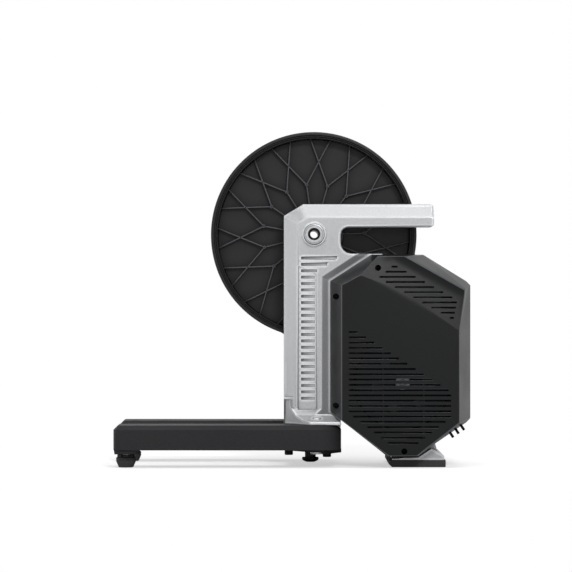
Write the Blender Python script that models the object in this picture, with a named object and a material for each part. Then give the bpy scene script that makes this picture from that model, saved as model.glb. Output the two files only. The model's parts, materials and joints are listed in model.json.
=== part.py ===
"""Folding direct-drive bike trainer, built as separate pieces at real size.

Axes: +X to the trainer's rear, +Y to the drive side, +Z up. Lengths are in metres.
Pieces are modelled about the axle (X = 0, Y = 0) with Z = 0 on the floor. One root
empty then centres the folded trainer over its footprint.
"""

import math

import bmesh
import bpy
from mathutils import Matrix, Vector

# Overall layout
AXLE_HEIGHT = 0.3385
DROPOUT_WIDTH = 0.142
FIT = 0.0003
RUN_GAP = 0.002
PAST = 0.010

# Frame casting, across the trainer
FRAME_FACE_Y = -0.062
FRAME_DEPTH = 0.050
FRAME_SKIN = 0.005
FRAME_RIB = 0.003
SEAT_DEPTH = 0.008
SEAT_SLOPE = 0.0087
SEAT_MARGIN = 0.0034
WEB_INSET = 0.0035

# Frame casting, upright and handle seen from the side
UPRIGHT_FRONT_X = -0.0442
UPRIGHT_REAR_X = 0.0385
UPRIGHT_BEVEL = 0.0185
UPRIGHT_BEVEL_DEPTH = 0.0175
UPRIGHT_TOP_RISE = 0.0443
CORNER_CUT_X = 0.0284
CORNER_CUT_Z = 0.0172
CORNER_CREASE_X = 0.0107
CORNER_CREASE_SHARE = 0.62
CORNER_CREASE_DROP = 0.44
HANDLE_END_X = 0.175
HANDLE_UNDER_RISE = 0.0105
HANDLE_END_BEVEL = 0.003
WINDOW_SILL_DROP = 0.0285
WINDOW_LOW_RADIUS = 0.016
WINDOW_HIGH_RADIUS = 0.011
EDGE_SOFTENING = 0.0015
UPRIGHT_GUSSET_DROP = 0.070
UPRIGHT_SHOULDER_X = 0.100
UPRIGHT_SHOULDER_DROP = 0.025
CROSS_RIB_Z = (0.155, 0.210, 0.265)
WEB_RIB_Z = 0.205
HANDLE_RIB_X = 0.106

# Louvres pressed into the upright
LOUVRE_COUNT = 23
LOUVRE_LOW_Z = 0.0992
LOUVRE_HEIGHT = 0.0042
LOUVRE_FRONT_X = -0.0190
LOUVRE_REAR_X = 0.0015
LOUVRE_TOP_DROP = 0.0347
LOUVRE_LONG = (0.0335, 0.0190, 0.0044)
LOUVRE_DEEP = 0.0035
LOUVRE_SHALLOW = 0.0008
PANEL_DEPTH = 0.0008
PANEL_FRONT_X = -0.0232
PANEL_REAR_X = 0.0035
PANEL_SILL_Z = 0.0825
PANEL_SLANT = 0.012

# Axle boss and flywheel boss
BOSS_RADIUS = 0.024
BOSS_RING_RADIUS = 0.017
BOSS_RING_RISE = 0.003
LOCK_NUT_RADIUS = 0.0150
LOCK_NUT_LENGTH = 0.0080
CAP_SEAT_DEPTH = 0.0017

# Flywheel housing cover
COVER_FRONT_X = 0.0236
COVER_REAR_X = 0.2283
COVER_TOP_Z = 0.3088
COVER_SHOULDER_Z = 0.2701
COVER_TOP_FRONT_X = 0.0834
COVER_TOP_INSET = 0.0690
COVER_HEEL_Z = 0.0809
COVER_CHIN_X = 0.0396
COVER_CHIN_Z = 0.0670
COVER_BASE_FRONT_X = 0.1058
COVER_BASE_REAR_X = 0.1507
COVER_BASE_Z = 0.0150
COVER_TAIL_INSET = 0.0058
COVER_TAIL_Z = 0.0638
COVER_CORNER = 0.0060
COVER_DEPTH = 0.0607
COVER_WALL = 0.0025
CORE_PAST_RIM = 0.004
FACE_FRONT_X = 0.0387
FACE_REAR_INSET = 0.0191
FACE_SHOULDER_Z = 0.2637
FACE_BEND_X = 0.0661
FACE_BEND_Z = 0.2786
FACE_BREAK_Z = 0.1982
FACE_DRAFT = 0.0027
VENT_SLOPE = 0.27
CREST_START = 0.0450
CREST_DISTANCE = 0.0573
CREST_RISE = 0.0050
CREST_TIP_BACK = 0.0085
CREST_END_INSET = 0.0115
CREST_TOP_INSET = 0.0105
CREST_CORE_BACK = 0.0035
CREST_CORE_INSET = 0.0165
FACE_TAIL_DROP = 0.002
WELL_RADIUS = 0.0058
WELL_BORE = 0.0043
WELL_FLOOR = 0.0035
COVER_RIB_DEPTH = 0.0060
COVER_RIB_X = (0.0993, 0.1577)
COVER_RIB_WIDTH = 0.002
COVER_RIB_LOW_Z = 0.036
COVER_RIB_HIGH_Z = 0.185

# Cooling slots in the cover
SLOT_HEIGHT = 0.0028
UPPER_SLOT_REACH = 0.007
LOWER_SLOT_PAST = 0.0006
UPPER_SLOT_COUNT = 11
UPPER_SLOT_PITCH = 0.00739
UPPER_SLOT_TOP_Z = 0.2909
LOWER_SLOT_COUNT = 22
LOWER_SLOT_PITCH = 0.00762
LOWER_SLOT_TOP_Z = 0.1967
LOWER_SLOT_FRONT_X = 0.0496
LOWER_SLOT_INSET = 0.0123
LOWER_SLOT_FIRST_END_X = 0.0623
LOWER_SLOT_STAIR = 0.01193
LOWER_SLOT_MARGIN = 0.0150
VENT_SLOT_LOW = 0.0095
VENT_SLOT_HIGH = 0.0372
VENT_CORNER_X = 0.1116
VENT_CORNER_STAIR = 0.0090
VENT_EDGE_INSET = 0.0106
VENT_EDGE_STAIR = 0.00167

# Drive wheel
WHEEL_GAP = 0.004
WHEEL_WIDTH = 0.030
TRACK_RADIUS = 0.146
WHEEL_FLANGE_HEIGHT = 0.006
WHEEL_LIP_WIDTH = 0.005
WHEEL_RIM_WALL = 0.004
WHEEL_FLANGE = 0.004
RIB_SECTORS = 15
RIB_START_ANGLE = math.radians(2.0)
RIB_FAN = math.radians(18.0)
RIB_THICKNESS = 0.002
RIB_TOP_DROP = 0.014
RIB_HEIGHT = 0.009
RIB_NODE_RADIUS = 0.075
RIB_RING_RADIUS = 0.0435
WHEEL_WEB = 0.004

# Belt, small pulley and tensioner
FLYWHEEL_OFFSET = 0.00145
FLYWHEEL_Z = 0.1236
PULLEY_TRACK_RADIUS = 0.025
PULLEY_FLANGE_HEIGHT = 0.003
PULLEY_FLANGE = 0.0022
BELT_WIDTH = 0.014
BELT_THICKNESS = 0.0026
ROLLER_RADIUS = 0.012
ROLLER_PIN_RADIUS = 0.0040
ROLLER_ALONG_BELT = 0.125
ARM_LENGTH = 0.038
ARM_THICKNESS = 0.003
ARM_HALF_WIDTH = 0.008

# Axle parts
AXLE_RADIUS = 0.010
AXLE_BORE_RADIUS = 0.0062
AXLE_FLANGE_RADIUS = 0.013
CAP_BORE_RADIUS = 0.0061
LEFT_CAP_RADIUS = 0.0148
LEFT_CAP_RECESS_RADIUS = 0.0086
LEFT_CAP_RECESS = 0.0035
RIGHT_CAP_RADIUS = 0.0095
RIGHT_CAP_LENGTH = 0.0067
BEARING_RADIUS = 0.0185
BEARING_WIDTH = 0.009
HUB_RADIUS = 0.024
HUB_FLANGE_RADIUS = 0.0370
HUB_FLANGE = 0.004
HUB_BOLT_COUNT = 5
HUB_BOLT_CIRCLE = 0.0305
HUB_BOLT_START = math.radians(56.0)
HUB_BOLT_RADIUS = 0.0025
HUB_BOLT_HEAD_RADIUS = 0.0045
HUB_BOLT_HEAD = 0.0035
FREEHUB_RADIUS = 0.0174
FREEHUB_SPLINE_COUNT = 9
FREEHUB_SPLINE_DEPTH = 0.0018

# Flywheel, shaft and brake
FLYWHEEL_RADIUS = 0.070
FLYWHEEL_WIDTH = 0.038
FLYWHEEL_RIM = 0.012
FLYWHEEL_WEB = 0.008
FLYWHEEL_HUB_RADIUS = 0.018
FLYWHEEL_HUB_LENGTH = 0.012
FLYWHEEL_HOLE_COUNT = 6
FLYWHEEL_HOLE_RADIUS = 0.008
FLYWHEEL_HOLE_START = math.radians(10.4)
COVER_AIR_GAP = 0.0075
SHAFT_RADIUS = 0.0075
SHAFT_SHOULDER_RADIUS = 0.010
SHAFT_NUT_RADIUS = 0.011
SHAFT_NUT_LENGTH = 0.0032
SHAFT_BEARING_RADIUS = 0.0175
SHAFT_BEARING_WIDTH = 0.011
STATOR_TUBE_RADIUS = 0.0225
STATOR_SHOULDER_RADIUS = 0.027
STATOR_WIDTH = 0.022
STATOR_AIR_GAP = 0.0025
STATOR_CHEEK = 0.005
STATOR_NOTCH_COUNT = 6
STATOR_NOTCH_HALF = 0.003
COIL_INSET = 0.0055

# Drive side guard
GUARD_WALL = 0.003
GUARD_CLEARANCE = 0.005
GUARD_FRONT_X = -0.042
GUARD_LOW_Z = 0.102
GUARD_INSET = 0.004
GUARD_CHIN_X = 0.004
GUARD_CHIN_Z = 0.006
GUARD_FRONT_SCREW = 0.014
GUARD_HIGH_SCREW = 0.0223
GUARD_HIGH_SCREW_Z = 0.250
GUARD_LOW_SCREW = 0.0483
GUARD_LOW_SCREW_Z = 0.056
GUARD_POST_RADIUS = 0.005

# Base of the frame
DECK_REAR_X = 0.039
DECK_HALF_WIDTH = 0.105
DECK_EDGE = 0.0045
DECK_FLARE_Z = 0.084
DECK_CORNER_X = 0.038
DECK_CORNER_Y = 0.065
GUSSET_RISE = 0.034
DECK_CORNER_LOW = 0.012
DECK_CORNER_HIGH = 0.036
FLARE_ROUND = 0.004
FLARE_MIDDLE = 0.010
FLARE_TOE = 0.024
KEEL_GAP = 0.004

# Legs
LEG_WIDTH = 0.070
LEG_REACH = 0.2943
LEG_UNDER_Z = 0.026
LEG_HEIGHT = 0.0357
LEG_BEVEL = 0.0062
LEG_CORNER = 0.0105
LEG_WALL = 0.004
LEG_PIVOT_X = 0.004
LEG_PIVOT_Y = 0.081
LEG_BOSS_RADIUS = 0.014
LEG_RIB = 0.003
LEG_RIB_COUNT = 4
PIVOT_PIN_RADIUS = 0.006
PIVOT_PIN_HEAD_RADIUS = 0.010
PIVOT_PIN_HEAD = 0.0030
PIVOT_PIN_BITE = 0.0095

# Feet
FOOT_FROM_TIP = 0.0170
FOOT_CUP_RADIUS = 0.0145
FOOT_CUP_HEIGHT = 0.0147
FOOT_CUP_SOLE_RADIUS = 0.0107
FOOT_CUP_CHAMFER_Z = 0.0088
FOOT_RING_RADIUS = 0.0130
FOOT_RING_HEIGHT = 0.0032
FOOT_STUD_RADIUS = 0.005
FOOT_STUD_SINK = 0.0085
FOOT_STUD_LENGTH = 0.042
TIP_DROP = 0.006
TIP_LENGTH = 0.0205
TIP_RAMP = 0.0210

# Hinge plate and its bolts
PLATE_THICKNESS = 0.0035
PLATE_STEP = 0.0030
PLATE_STEP_X = 0.012
PLATE_EAR_RADIUS = 0.016
PLATE_NECK_HALF_WIDTH = 0.040
PLATE_BOLT_X = (-0.0369, 0.0192)
PLATE_BOLT_Y = 0.026
PLATE_BOLT_RADIUS = 0.004
PLATE_BOLT_HEAD_RADIUS = 0.0062
PLATE_BOLT_HEAD = 0.0071
PLATE_BOLT_BITE = 0.022

# Centre levelling foot
CENTRE_FOOT_X = -0.005
CENTRE_FOOT_CLEARANCE = 0.0032
CENTRE_FOOT_RADIUS = 0.0123
CENTRE_FOOT_DISC = 0.0070
CENTRE_FOOT_NECK_RADIUS = 0.0080
CENTRE_FOOT_STUD_BITE = 0.016
CENTRE_FOOT_STUD_RADIUS = 0.004

# Rear foot
REAR_FOOT_FRONT_X = 0.1135
REAR_FOOT_REAR_X = 0.1885
REAR_FOOT_HALF_WIDTH = 0.081
REAR_FOOT_EDGE = 0.0061
REAR_FOOT_PEAK_X = 0.1704
REAR_FOOT_GAP = 0.0012
SHANK_INSET = 0.004
SHANK_REAR_INSET = 0.006
SHANK_SHOULDER_Z = 0.036
SHANK_TOP_Z = 0.060
PAD_HEIGHT = 0.010
PAD_OVERHANG = 0.0030
PAD_FRONT_LIP = 0.0055
PAD_CHAMFER = 0.0048

# Electronics
BOARD_LENGTH = 0.110
BOARD_HEIGHT = 0.054
BOARD_THICKNESS = 0.0016
BOARD_CENTRE_X = 0.130
BOARD_CENTRE_Z = 0.2345
BOARD_STANDOFF = 0.012
BOARD_POST_RADIUS = 0.004
BOARD_PEG_RADIUS = 0.0014
BOARD_POST_INSET = 0.005
SUNK = 0.0005
CHIP_X = -0.001
CHIP_Z = 0.001
CHIP_SIDE = 0.018
CHIP_RISE = 0.003
RADIO_CAN_X = 0.028
RADIO_CAN_Z = 0.010
RADIO_CAN_SIDE = 0.016
RADIO_CAN_RISE = 0.0025
DRIVER_X = -0.029
DRIVER_Z = -0.011
DRIVER_LENGTH = 0.014
DRIVER_HEIGHT = 0.010
DRIVER_RISE = 0.006
CAPACITOR_COUNT = 3
CAPACITOR_X = -0.034
CAPACITOR_Z = 0.014
CAPACITOR_PITCH = 0.013
CAPACITOR_RADIUS = 0.005
CAPACITOR_RISE = 0.012
INLET_X = 0.1165
INLET_FROM_FACE = 0.017
INLET_RADIUS = 0.0050
INLET_FLANGE_RADIUS = 0.0068
INLET_FLANGE = 0.0016
INLET_LENGTH = 0.014
INLET_SOCKET_RADIUS = 0.0028
INLET_END_WALL = 0.003
LIGHT_COUNT = 3
LIGHT_FROM_TAIL = 0.0238
LIGHT_PITCH = 0.0095
LIGHT_RADIUS = 0.0021
LIGHT_RISE = 0.0048
LIGHT_ROOT = 0.006
LIGHT_HOLE_ROOT = 0.008
LIGHT_FROM_FACE = 0.022

# Cover and guard screws
COVER_SCREWS = ((0.0918, 0.2892), (0.0316, 0.2478), (0.0316, 0.0893), (0.1295, 0.0245))
SCREW_RADIUS = 0.0020
SCREW_HEAD_RADIUS = 0.0038
SCREW_HEAD = 0.0030
SCREW_BITE = 0.010
SOCKET_RADIUS = 0.0016
SOCKET_DEPTH = 0.0018

# Facets round a full turn
WHEEL_STEPS = 45
ROTOR_STEPS = 24
ROUND_STEPS = 16
SMALL_STEPS = 12
TINY_STEPS = 8
HIDDEN_STEPS = 6
BELT_WHEEL_STEPS = 28
BELT_PULLEY_STEPS = 7

# Values worked out from the driving dimensions
WHEEL_LIP_RADIUS = TRACK_RADIUS + WHEEL_FLANGE_HEIGHT
WHEEL_BAND_RADIUS = WHEEL_LIP_RADIUS - WHEEL_LIP_WIDTH
WHEEL_DISH_RADIUS = TRACK_RADIUS - WHEEL_RIM_WALL
GUARD_CLEAR_RADIUS = WHEEL_LIP_RADIUS + GUARD_CLEARANCE
SEAT_Y = FRAME_FACE_Y + SEAT_DEPTH
FRAME_BACK_Y = FRAME_FACE_Y + FRAME_DEPTH
BEVEL_START_Y = FRAME_FACE_Y + UPRIGHT_BEVEL_DEPTH
COVER_RIM_Y = SEAT_Y - FIT
COVER_FACE_Y = COVER_RIM_Y - COVER_DEPTH
WHEEL_NEAR_Y = FRAME_BACK_Y + WHEEL_GAP
WHEEL_FAR_Y = WHEEL_NEAR_Y + WHEEL_WIDTH
RIB_TOP_Y = WHEEL_NEAR_Y + RIB_TOP_DROP
WEB_NEAR_Y = RIB_TOP_Y + RIB_HEIGHT
WEB_FAR_Y = WEB_NEAR_Y + WHEEL_WEB
TRACK_MIDDLE_Y = (WHEEL_NEAR_Y + WHEEL_FAR_Y) / 2 + 0.001
BELT_NEAR_Y = TRACK_MIDDLE_Y - BELT_WIDTH / 2
BELT_FAR_Y = TRACK_MIDDLE_Y + BELT_WIDTH / 2
LEG_TOP_Z = LEG_UNDER_Z + LEG_HEIGHT
DECK_UNDER_Z = LEG_TOP_Z + FIT
KEEL_HALF_WIDTH = LEG_PIVOT_Y - LEG_WIDTH / 2 - KEEL_GAP
PLATE_TOP_Z = LEG_UNDER_Z - FIT
LEG_TIP_X = LEG_PIVOT_X - LEG_REACH
FOOT_X = LEG_TIP_X + FOOT_FROM_TIP
GUARD_INNER_Y = WHEEL_FAR_Y + RUN_GAP
GUARD_OUTER_Y = GUARD_INNER_Y + GUARD_WALL
FLYWHEEL_X = (COVER_FRONT_X + COVER_REAR_X) / 2 + FLYWHEEL_OFFSET
FLYWHEEL_HOLE_CIRCLE = (FLYWHEEL_RADIUS - FLYWHEEL_RIM + FLYWHEEL_HUB_RADIUS) / 2
STATOR_RADIUS = FLYWHEEL_RADIUS - FLYWHEEL_RIM - STATOR_AIR_GAP
COIL_RADIUS = STATOR_RADIUS - COIL_INSET
AXLE = Vector((0.0, 0.0, AXLE_HEIGHT))
ROTOR = Vector((FLYWHEEL_X, 0.0, FLYWHEEL_Z))
ROTOR_NEAR_Y = COVER_FACE_Y + COVER_WALL + COVER_AIR_GAP
ROTOR_FAR_Y = ROTOR_NEAR_Y + FLYWHEEL_WIDTH
STATOR_NEAR_Y = ROTOR_NEAR_Y + FLYWHEEL_HUB_LENGTH + 0.001
STATOR_FAR_Y = STATOR_NEAR_Y + STATOR_WIDTH
UPRIGHT_TOP_Z = AXLE_HEIGHT + UPRIGHT_TOP_RISE
HANDLE_UNDER_Z = AXLE_HEIGHT + HANDLE_UNDER_RISE
WINDOW_SILL_Z = AXLE_HEIGHT - WINDOW_SILL_DROP
LOUVRE_TOP_Z = AXLE_HEIGHT - LOUVRE_TOP_DROP
LOUVRE_PITCH = (LOUVRE_TOP_Z - LOUVRE_LOW_Z) / (LOUVRE_COUNT - 1)
COVER_TOP_REAR_X = COVER_REAR_X - COVER_TOP_INSET
COVER_TAIL_X = COVER_REAR_X - COVER_TAIL_INSET
FACE_REAR_X = COVER_REAR_X - FACE_REAR_INSET
LOWER_SLOT_REAR_X = FACE_REAR_X - LOWER_SLOT_INSET
VENT_EDGE_X = COVER_REAR_X - VENT_EDGE_INSET
LIGHT_FIRST_X = COVER_TAIL_X - LIGHT_FROM_TAIL
GUARD_SCREWS = (
    (GUARD_FRONT_X + GUARD_FRONT_SCREW, GUARD_LOW_Z + GUARD_FRONT_SCREW),
    (COVER_REAR_X - GUARD_HIGH_SCREW, GUARD_HIGH_SCREW_Z),
    (COVER_REAR_X - GUARD_LOW_SCREW, GUARD_LOW_SCREW_Z),
)
ROOT_SHIFT = Vector((-(LEG_TIP_X + COVER_REAR_X) / 2, 0.0, 0.0))

# Finishes: base colour, roughness, metallic
SILVER_PAINT = ((0.62, 0.62, 0.62), 0.42, 0.35)
BLACK_SHELL = ((0.022, 0.022, 0.024), 0.48, 0.0)
BLACK_PAINT = ((0.026, 0.026, 0.027), 0.45, 0.1)
BLACK_NYLON = ((0.020, 0.020, 0.022), 0.55, 0.0)
BLACK_RUBBER = ((0.018, 0.018, 0.018), 0.85, 0.0)
BRIGHT_ALLOY = ((0.70, 0.71, 0.72), 0.28, 1.0)
BEARING_STEEL = ((0.55, 0.56, 0.58), 0.22, 1.0)
BLACK_STEEL = ((0.030, 0.030, 0.032), 0.38, 0.8)
CAST_IRON = ((0.22, 0.25, 0.28), 0.45, 0.9)
COPPER = ((0.72, 0.33, 0.15), 0.35, 0.9)
CIRCUIT_GREEN = ((0.02, 0.14, 0.06), 0.5, 0.0)
SMOKED_LENS = ((0.012, 0.012, 0.014), 0.2, 0.0)


def mesh_object(name, bm):
    """Turn a closed bmesh into an object with its faces pointing out."""
    bmesh.ops.remove_doubles(bm, verts=bm.verts, dist=1e-7)
    bmesh.ops.recalc_face_normals(bm, faces=bm.faces)
    mesh = bpy.data.meshes.new(name)
    bm.to_mesh(mesh)
    bm.free()
    obj = bpy.data.objects.new(name, mesh)
    bpy.context.scene.collection.objects.link(obj)
    return obj


def loft(name, rings):
    """Close a stack of rings, each with the same number of points, into a solid."""
    bm = bmesh.new()
    loops = [[bm.verts.new(point) for point in ring] for ring in rings]
    count = len(rings[0])
    bm.faces.new(loops[0])
    bm.faces.new(loops[-1])
    for lower, upper in zip(loops, loops[1:]):
        for i in range(count):
            j = (i + 1) % count
            bm.faces.new((lower[i], lower[j], upper[j], upper[i]))
    return mesh_object(name, bm)


def extrude(name, ring, travel):
    """Extrude one flat ring of points along a vector."""
    bm = bmesh.new()
    face = bm.faces.new([bm.verts.new(point) for point in ring])
    made = bmesh.ops.extrude_face_region(bm, geom=[face])["geom"]
    moved = [item for item in made if isinstance(item, bmesh.types.BMVert)]
    bmesh.ops.translate(bm, verts=moved, vec=travel)
    return mesh_object(name, bm)


def side_prism(name, outline, near_y, far_y):
    """Extrude an (x, z) outline across the trainer, from near_y to far_y."""
    ring = [Vector((x, near_y, z)) for x, z in outline]
    return extrude(name, ring, Vector((0.0, far_y - near_y, 0.0)))


def plan_prism(name, outline, low_z, high_z):
    """Extrude an (x, y) outline upwards, from low_z to high_z."""
    ring = [Vector((x, y, low_z)) for x, y in outline]
    return extrude(name, ring, Vector((0.0, 0.0, high_z - low_z)))


def box(name, low, high):
    """Make a box between two corners."""
    outline = ((low[0], low[1]), (high[0], low[1]), (high[0], high[1]), (low[0], high[1]))
    return plan_prism(name, outline, low[2], high[2])


def turned(name, profile, centre, axis="Y", steps=ROUND_STEPS, around=False):
    """Spin a closed (radius, station) profile about an axis through a centre.

    With around set, the profile is made round its radius: its flats touch the true circle,
    and it is turned a little, so that its corners lie off those of what it cuts.
    """
    bm = bmesh.new()
    points = []
    growth = 1.0 / math.cos(math.pi / steps) if around else 1.0
    for radius, station in profile:
        radius *= growth
        local = Vector((radius, station, 0.0)) if axis == "Y" else Vector((radius, 0.0, station))
        points.append(bm.verts.new(local))
    edges = []
    for i, point in enumerate(points):
        following = points[(i + 1) % len(points)]
        if point.co.x > 1e-9 or following.co.x > 1e-9:
            edges.append(bm.edges.new((point, following)))
    direction = Vector((0.0, 1.0, 0.0)) if axis == "Y" else Vector((0.0, 0.0, 1.0))
    bmesh.ops.spin(
        bm,
        geom=points + edges,
        cent=(0.0, 0.0, 0.0),
        axis=direction,
        angle=math.tau,
        steps=steps,
        use_merge=True,
    )
    if around:
        turn = Matrix.Rotation(0.37 * math.tau / steps, 3, direction)
        bmesh.ops.rotate(bm, verts=bm.verts, cent=(0.0, 0.0, 0.0), matrix=turn)
    bmesh.ops.translate(bm, verts=bm.verts, vec=centre)
    return mesh_object(name, bm)


def clear(radius, steps=ROUND_STEPS):
    """Return the corner radius of a faceted bore whose flats clear a round piece."""
    return (radius + FIT) / math.cos(math.pi / steps)


def bore(name, stages, centre, axis="Y", steps=ROUND_STEPS):
    """Make a stepped round cutter from (radius, start, end) stages, in order."""
    profile = [(0.0, stages[0][1])]
    for radius, start, end in stages:
        profile += [(radius, start), (radius, end)]
    profile.append((0.0, stages[-1][2]))
    return turned(name, profile, centre, axis, steps, around=True)


def cylinder(name, radius, centre, start, end, axis="Y", steps=ROUND_STEPS):
    """Make a solid cylinder between two stations on an axis."""
    profile = ((0.0, start), (radius, start), (radius, end), (0.0, end))
    return turned(name, profile, centre, axis, steps)


def tube(name, inner, outer, centre, start, end, axis="Y", steps=ROUND_STEPS):
    """Make a tube between two stations on an axis."""
    profile = ((inner, start), (outer, start), (outer, end), (inner, end))
    return turned(name, profile, centre, axis, steps)


def star_outline(outer, inner, count, centre=(0.0, 0.0), duty=0.5):
    """Return a ring with square teeth: each tooth fills the duty share of its pitch."""
    points = []
    pitch = math.tau / count
    for i in range(count):
        middle = i * pitch
        half = pitch * duty / 2
        for angle, radius in (
            (middle - half, outer),
            (middle + half, outer),
            (middle + half, inner),
            (middle + pitch - half, inner),
        ):
            points.append(on_circle(centre, radius, angle))
    return points


def on_circle(centre, radius, angle):
    """Return the point of a circle at an angle in radians."""
    return (centre[0] + radius * math.cos(angle), centre[1] + radius * math.sin(angle))


def arc(centre, radius, start, end, steps):
    """Return points on an arc, both ends included; angles in radians."""
    return [on_circle(centre, radius, start + (end - start) * i / steps) for i in range(steps + 1)]


def wrap(centre, radius, start, end, steps):
    """Return an outline whose sides touch an arc from outside, tangent at both ends."""
    step = (end - start) / steps
    middles = arc(centre, radius / math.cos(step / 2), start + step / 2, end - step / 2, steps - 1)
    return [on_circle(centre, radius, start), *middles, on_circle(centre, radius, end)]


def offset_outline(points, distance):
    """Move each side of a counter-clockwise outline outwards, with mitred corners."""
    moved = []
    count = len(points)
    for i in range(count):
        here = Vector(points[i])
        before = (here - Vector(points[i - 1])).normalized()
        after = (Vector(points[(i + 1) % count]) - here).normalized()
        normal_before = Vector((before.y, -before.x))
        normal_after = Vector((after.y, -after.x))
        middle = (normal_before + normal_after).normalized()
        moved.append(tuple(here + middle * (distance / middle.dot(normal_after))))
    return moved


def bake(obj, dissolve_angle=0.05):
    """Apply an object's modifiers and merge the flat facets that they leave."""
    graph = bpy.context.evaluated_depsgraph_get()
    mesh = bpy.data.meshes.new_from_object(obj.evaluated_get(graph))
    obj.modifiers.clear()
    obj.data = mesh
    bm = bmesh.new()
    bm.from_mesh(mesh)
    bmesh.ops.remove_doubles(bm, verts=bm.verts, dist=2e-6)
    bmesh.ops.dissolve_limit(
        bm, angle_limit=math.radians(dissolve_angle), verts=bm.verts, edges=bm.edges
    )
    bmesh.ops.triangulate(bm, faces=[face for face in bm.faces if len(face.verts) > 4])
    bm.to_mesh(mesh)
    bm.free()


def combine(target, tools, operation):
    """Join, cut or intersect a solid with each of a list of solids, which are used up."""
    for tool in tools:
        modifier = target.modifiers.new(tool.name, "BOOLEAN")
        modifier.operation = operation
        modifier.solver = "EXACT"
        modifier.object = tool
    bake(target)
    for tool in tools:
        bpy.data.objects.remove(tool)
    return target


def join(target, *tools):
    return combine(target, tools, "UNION")


def cut(target, *tools):
    return combine(target, tools, "DIFFERENCE")


def bundle(solids):
    """Gather solids that stay clear of each other into one object."""
    bm = bmesh.new()
    for solid in solids:
        bm.from_mesh(solid.data)
        bpy.data.objects.remove(solid)
    return mesh_object("bundle", bm)


def drill(target, *tools):
    """Cut with separate tools in one step, which leaves cleaner faces than a chain."""
    return combine(target, (bundle(tools),), "DIFFERENCE")


def keep_inside(target, tool):
    return combine(target, (tool,), "INTERSECT")


def make_pivot(name, location, parent=None):
    """Make an empty at a place given in the common frame; children take it as origin."""
    pivot = bpy.data.objects.new(name, None)
    pivot.empty_display_size = 0.02
    bpy.context.scene.collection.objects.link(pivot)
    pivot["place"] = tuple(location)
    if parent is not None:
        pivot.parent = parent
        pivot.location = Vector(location) - Vector(parent["place"])
    return pivot


def settle(obj, pivot, finish, smooth_angle=35.0):
    """Hang a finished piece on its pivot and give it its own material."""
    obj.data.transform(Matrix.Translation(-Vector(pivot["place"])))
    obj.parent = pivot
    colour, roughness, metallic = finish
    material = bpy.data.materials.new(obj.name)
    material.use_nodes = True
    shader = material.node_tree.nodes["Principled BSDF"]
    shader.inputs["Base Color"].default_value = (*colour, 1.0)
    shader.inputs["Roughness"].default_value = roughness
    shader.inputs["Metallic"].default_value = metallic
    obj.data.materials.clear()
    obj.data.materials.append(material)
    obj.data.shade_smooth()
    obj.data.set_sharp_from_angle(angle=math.radians(smooth_angle))
    return obj


def cover_outline():
    """Return the rim of the flywheel cover as a counter-clockwise (x, z) outline."""
    return [
        (COVER_FRONT_X, COVER_SHOULDER_Z),
        (COVER_FRONT_X, COVER_HEEL_Z),
        (COVER_CHIN_X, COVER_CHIN_Z),
        (COVER_BASE_FRONT_X, COVER_BASE_Z),
        (COVER_BASE_REAR_X, COVER_BASE_Z),
        (COVER_TAIL_X, COVER_TAIL_Z),
        (COVER_REAR_X, COVER_TAIL_Z + COVER_CORNER),
        (COVER_REAR_X, COVER_SHOULDER_Z - COVER_CORNER),
        (COVER_REAR_X - COVER_CORNER, COVER_SHOULDER_Z),
        (COVER_TOP_REAR_X, COVER_TOP_Z),
        (COVER_TOP_FRONT_X, COVER_TOP_Z),
    ]


def break_line():
    """Return a point on the fold between flat face and vented face, and its normal."""
    start = Vector((FACE_BEND_X, FACE_BEND_Z))
    end = Vector((FACE_REAR_X, FACE_BREAK_Z))
    along = (end - start).normalized()
    return start, Vector((-along.y, along.x))


def vent_face_y(x, z):
    """Return how far across the sloped, vented face of the cover lies at (x, z)."""
    start, normal = break_line()
    distance = max(0.0, (Vector((x, z)) - start).dot(normal))
    return COVER_FACE_Y + VENT_SLOPE * distance


def at_break_distance(distance, x=None, z=None):
    """Return the point at a distance above the fold with a given x, or a given z."""
    start, normal = break_line()
    base = start + normal * distance
    along = Vector((normal.y, -normal.x))
    run = (x - base.x) / along.x if x is not None else (z - base.y) / along.y
    return base + along * run


def face_outline(inset):
    """Return the flat face of the cover, drawn in from its rim by the draft."""
    low = offset_outline(cover_outline(), -FACE_DRAFT)
    points = [
        (FACE_FRONT_X, FACE_SHOULDER_Z),
        (FACE_FRONT_X, low[2][1]),
        low[3],
        low[4],
        (FACE_REAR_X, low[5][1] - FACE_TAIL_DROP),
        (FACE_REAR_X, FACE_BREAK_Z),
        (FACE_BEND_X, FACE_BEND_Z),
    ]
    return offset_outline(points, -inset)


def cover_corners():
    """Return named corners of the vented face and of the raised crest beside it."""
    top = COVER_TOP_Z - FACE_DRAFT
    tip = at_break_distance(CREST_START - CREST_TIP_BACK, z=top)
    start = at_break_distance(CREST_START, z=top)
    end = at_break_distance(CREST_START, x=COVER_REAR_X - CREST_END_INSET)
    crest_start = at_break_distance(CREST_DISTANCE, z=top)
    crest_end = at_break_distance(CREST_DISTANCE, x=COVER_REAR_X - CREST_TOP_INSET)
    return tip, start, end, crest_start, crest_end


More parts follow.
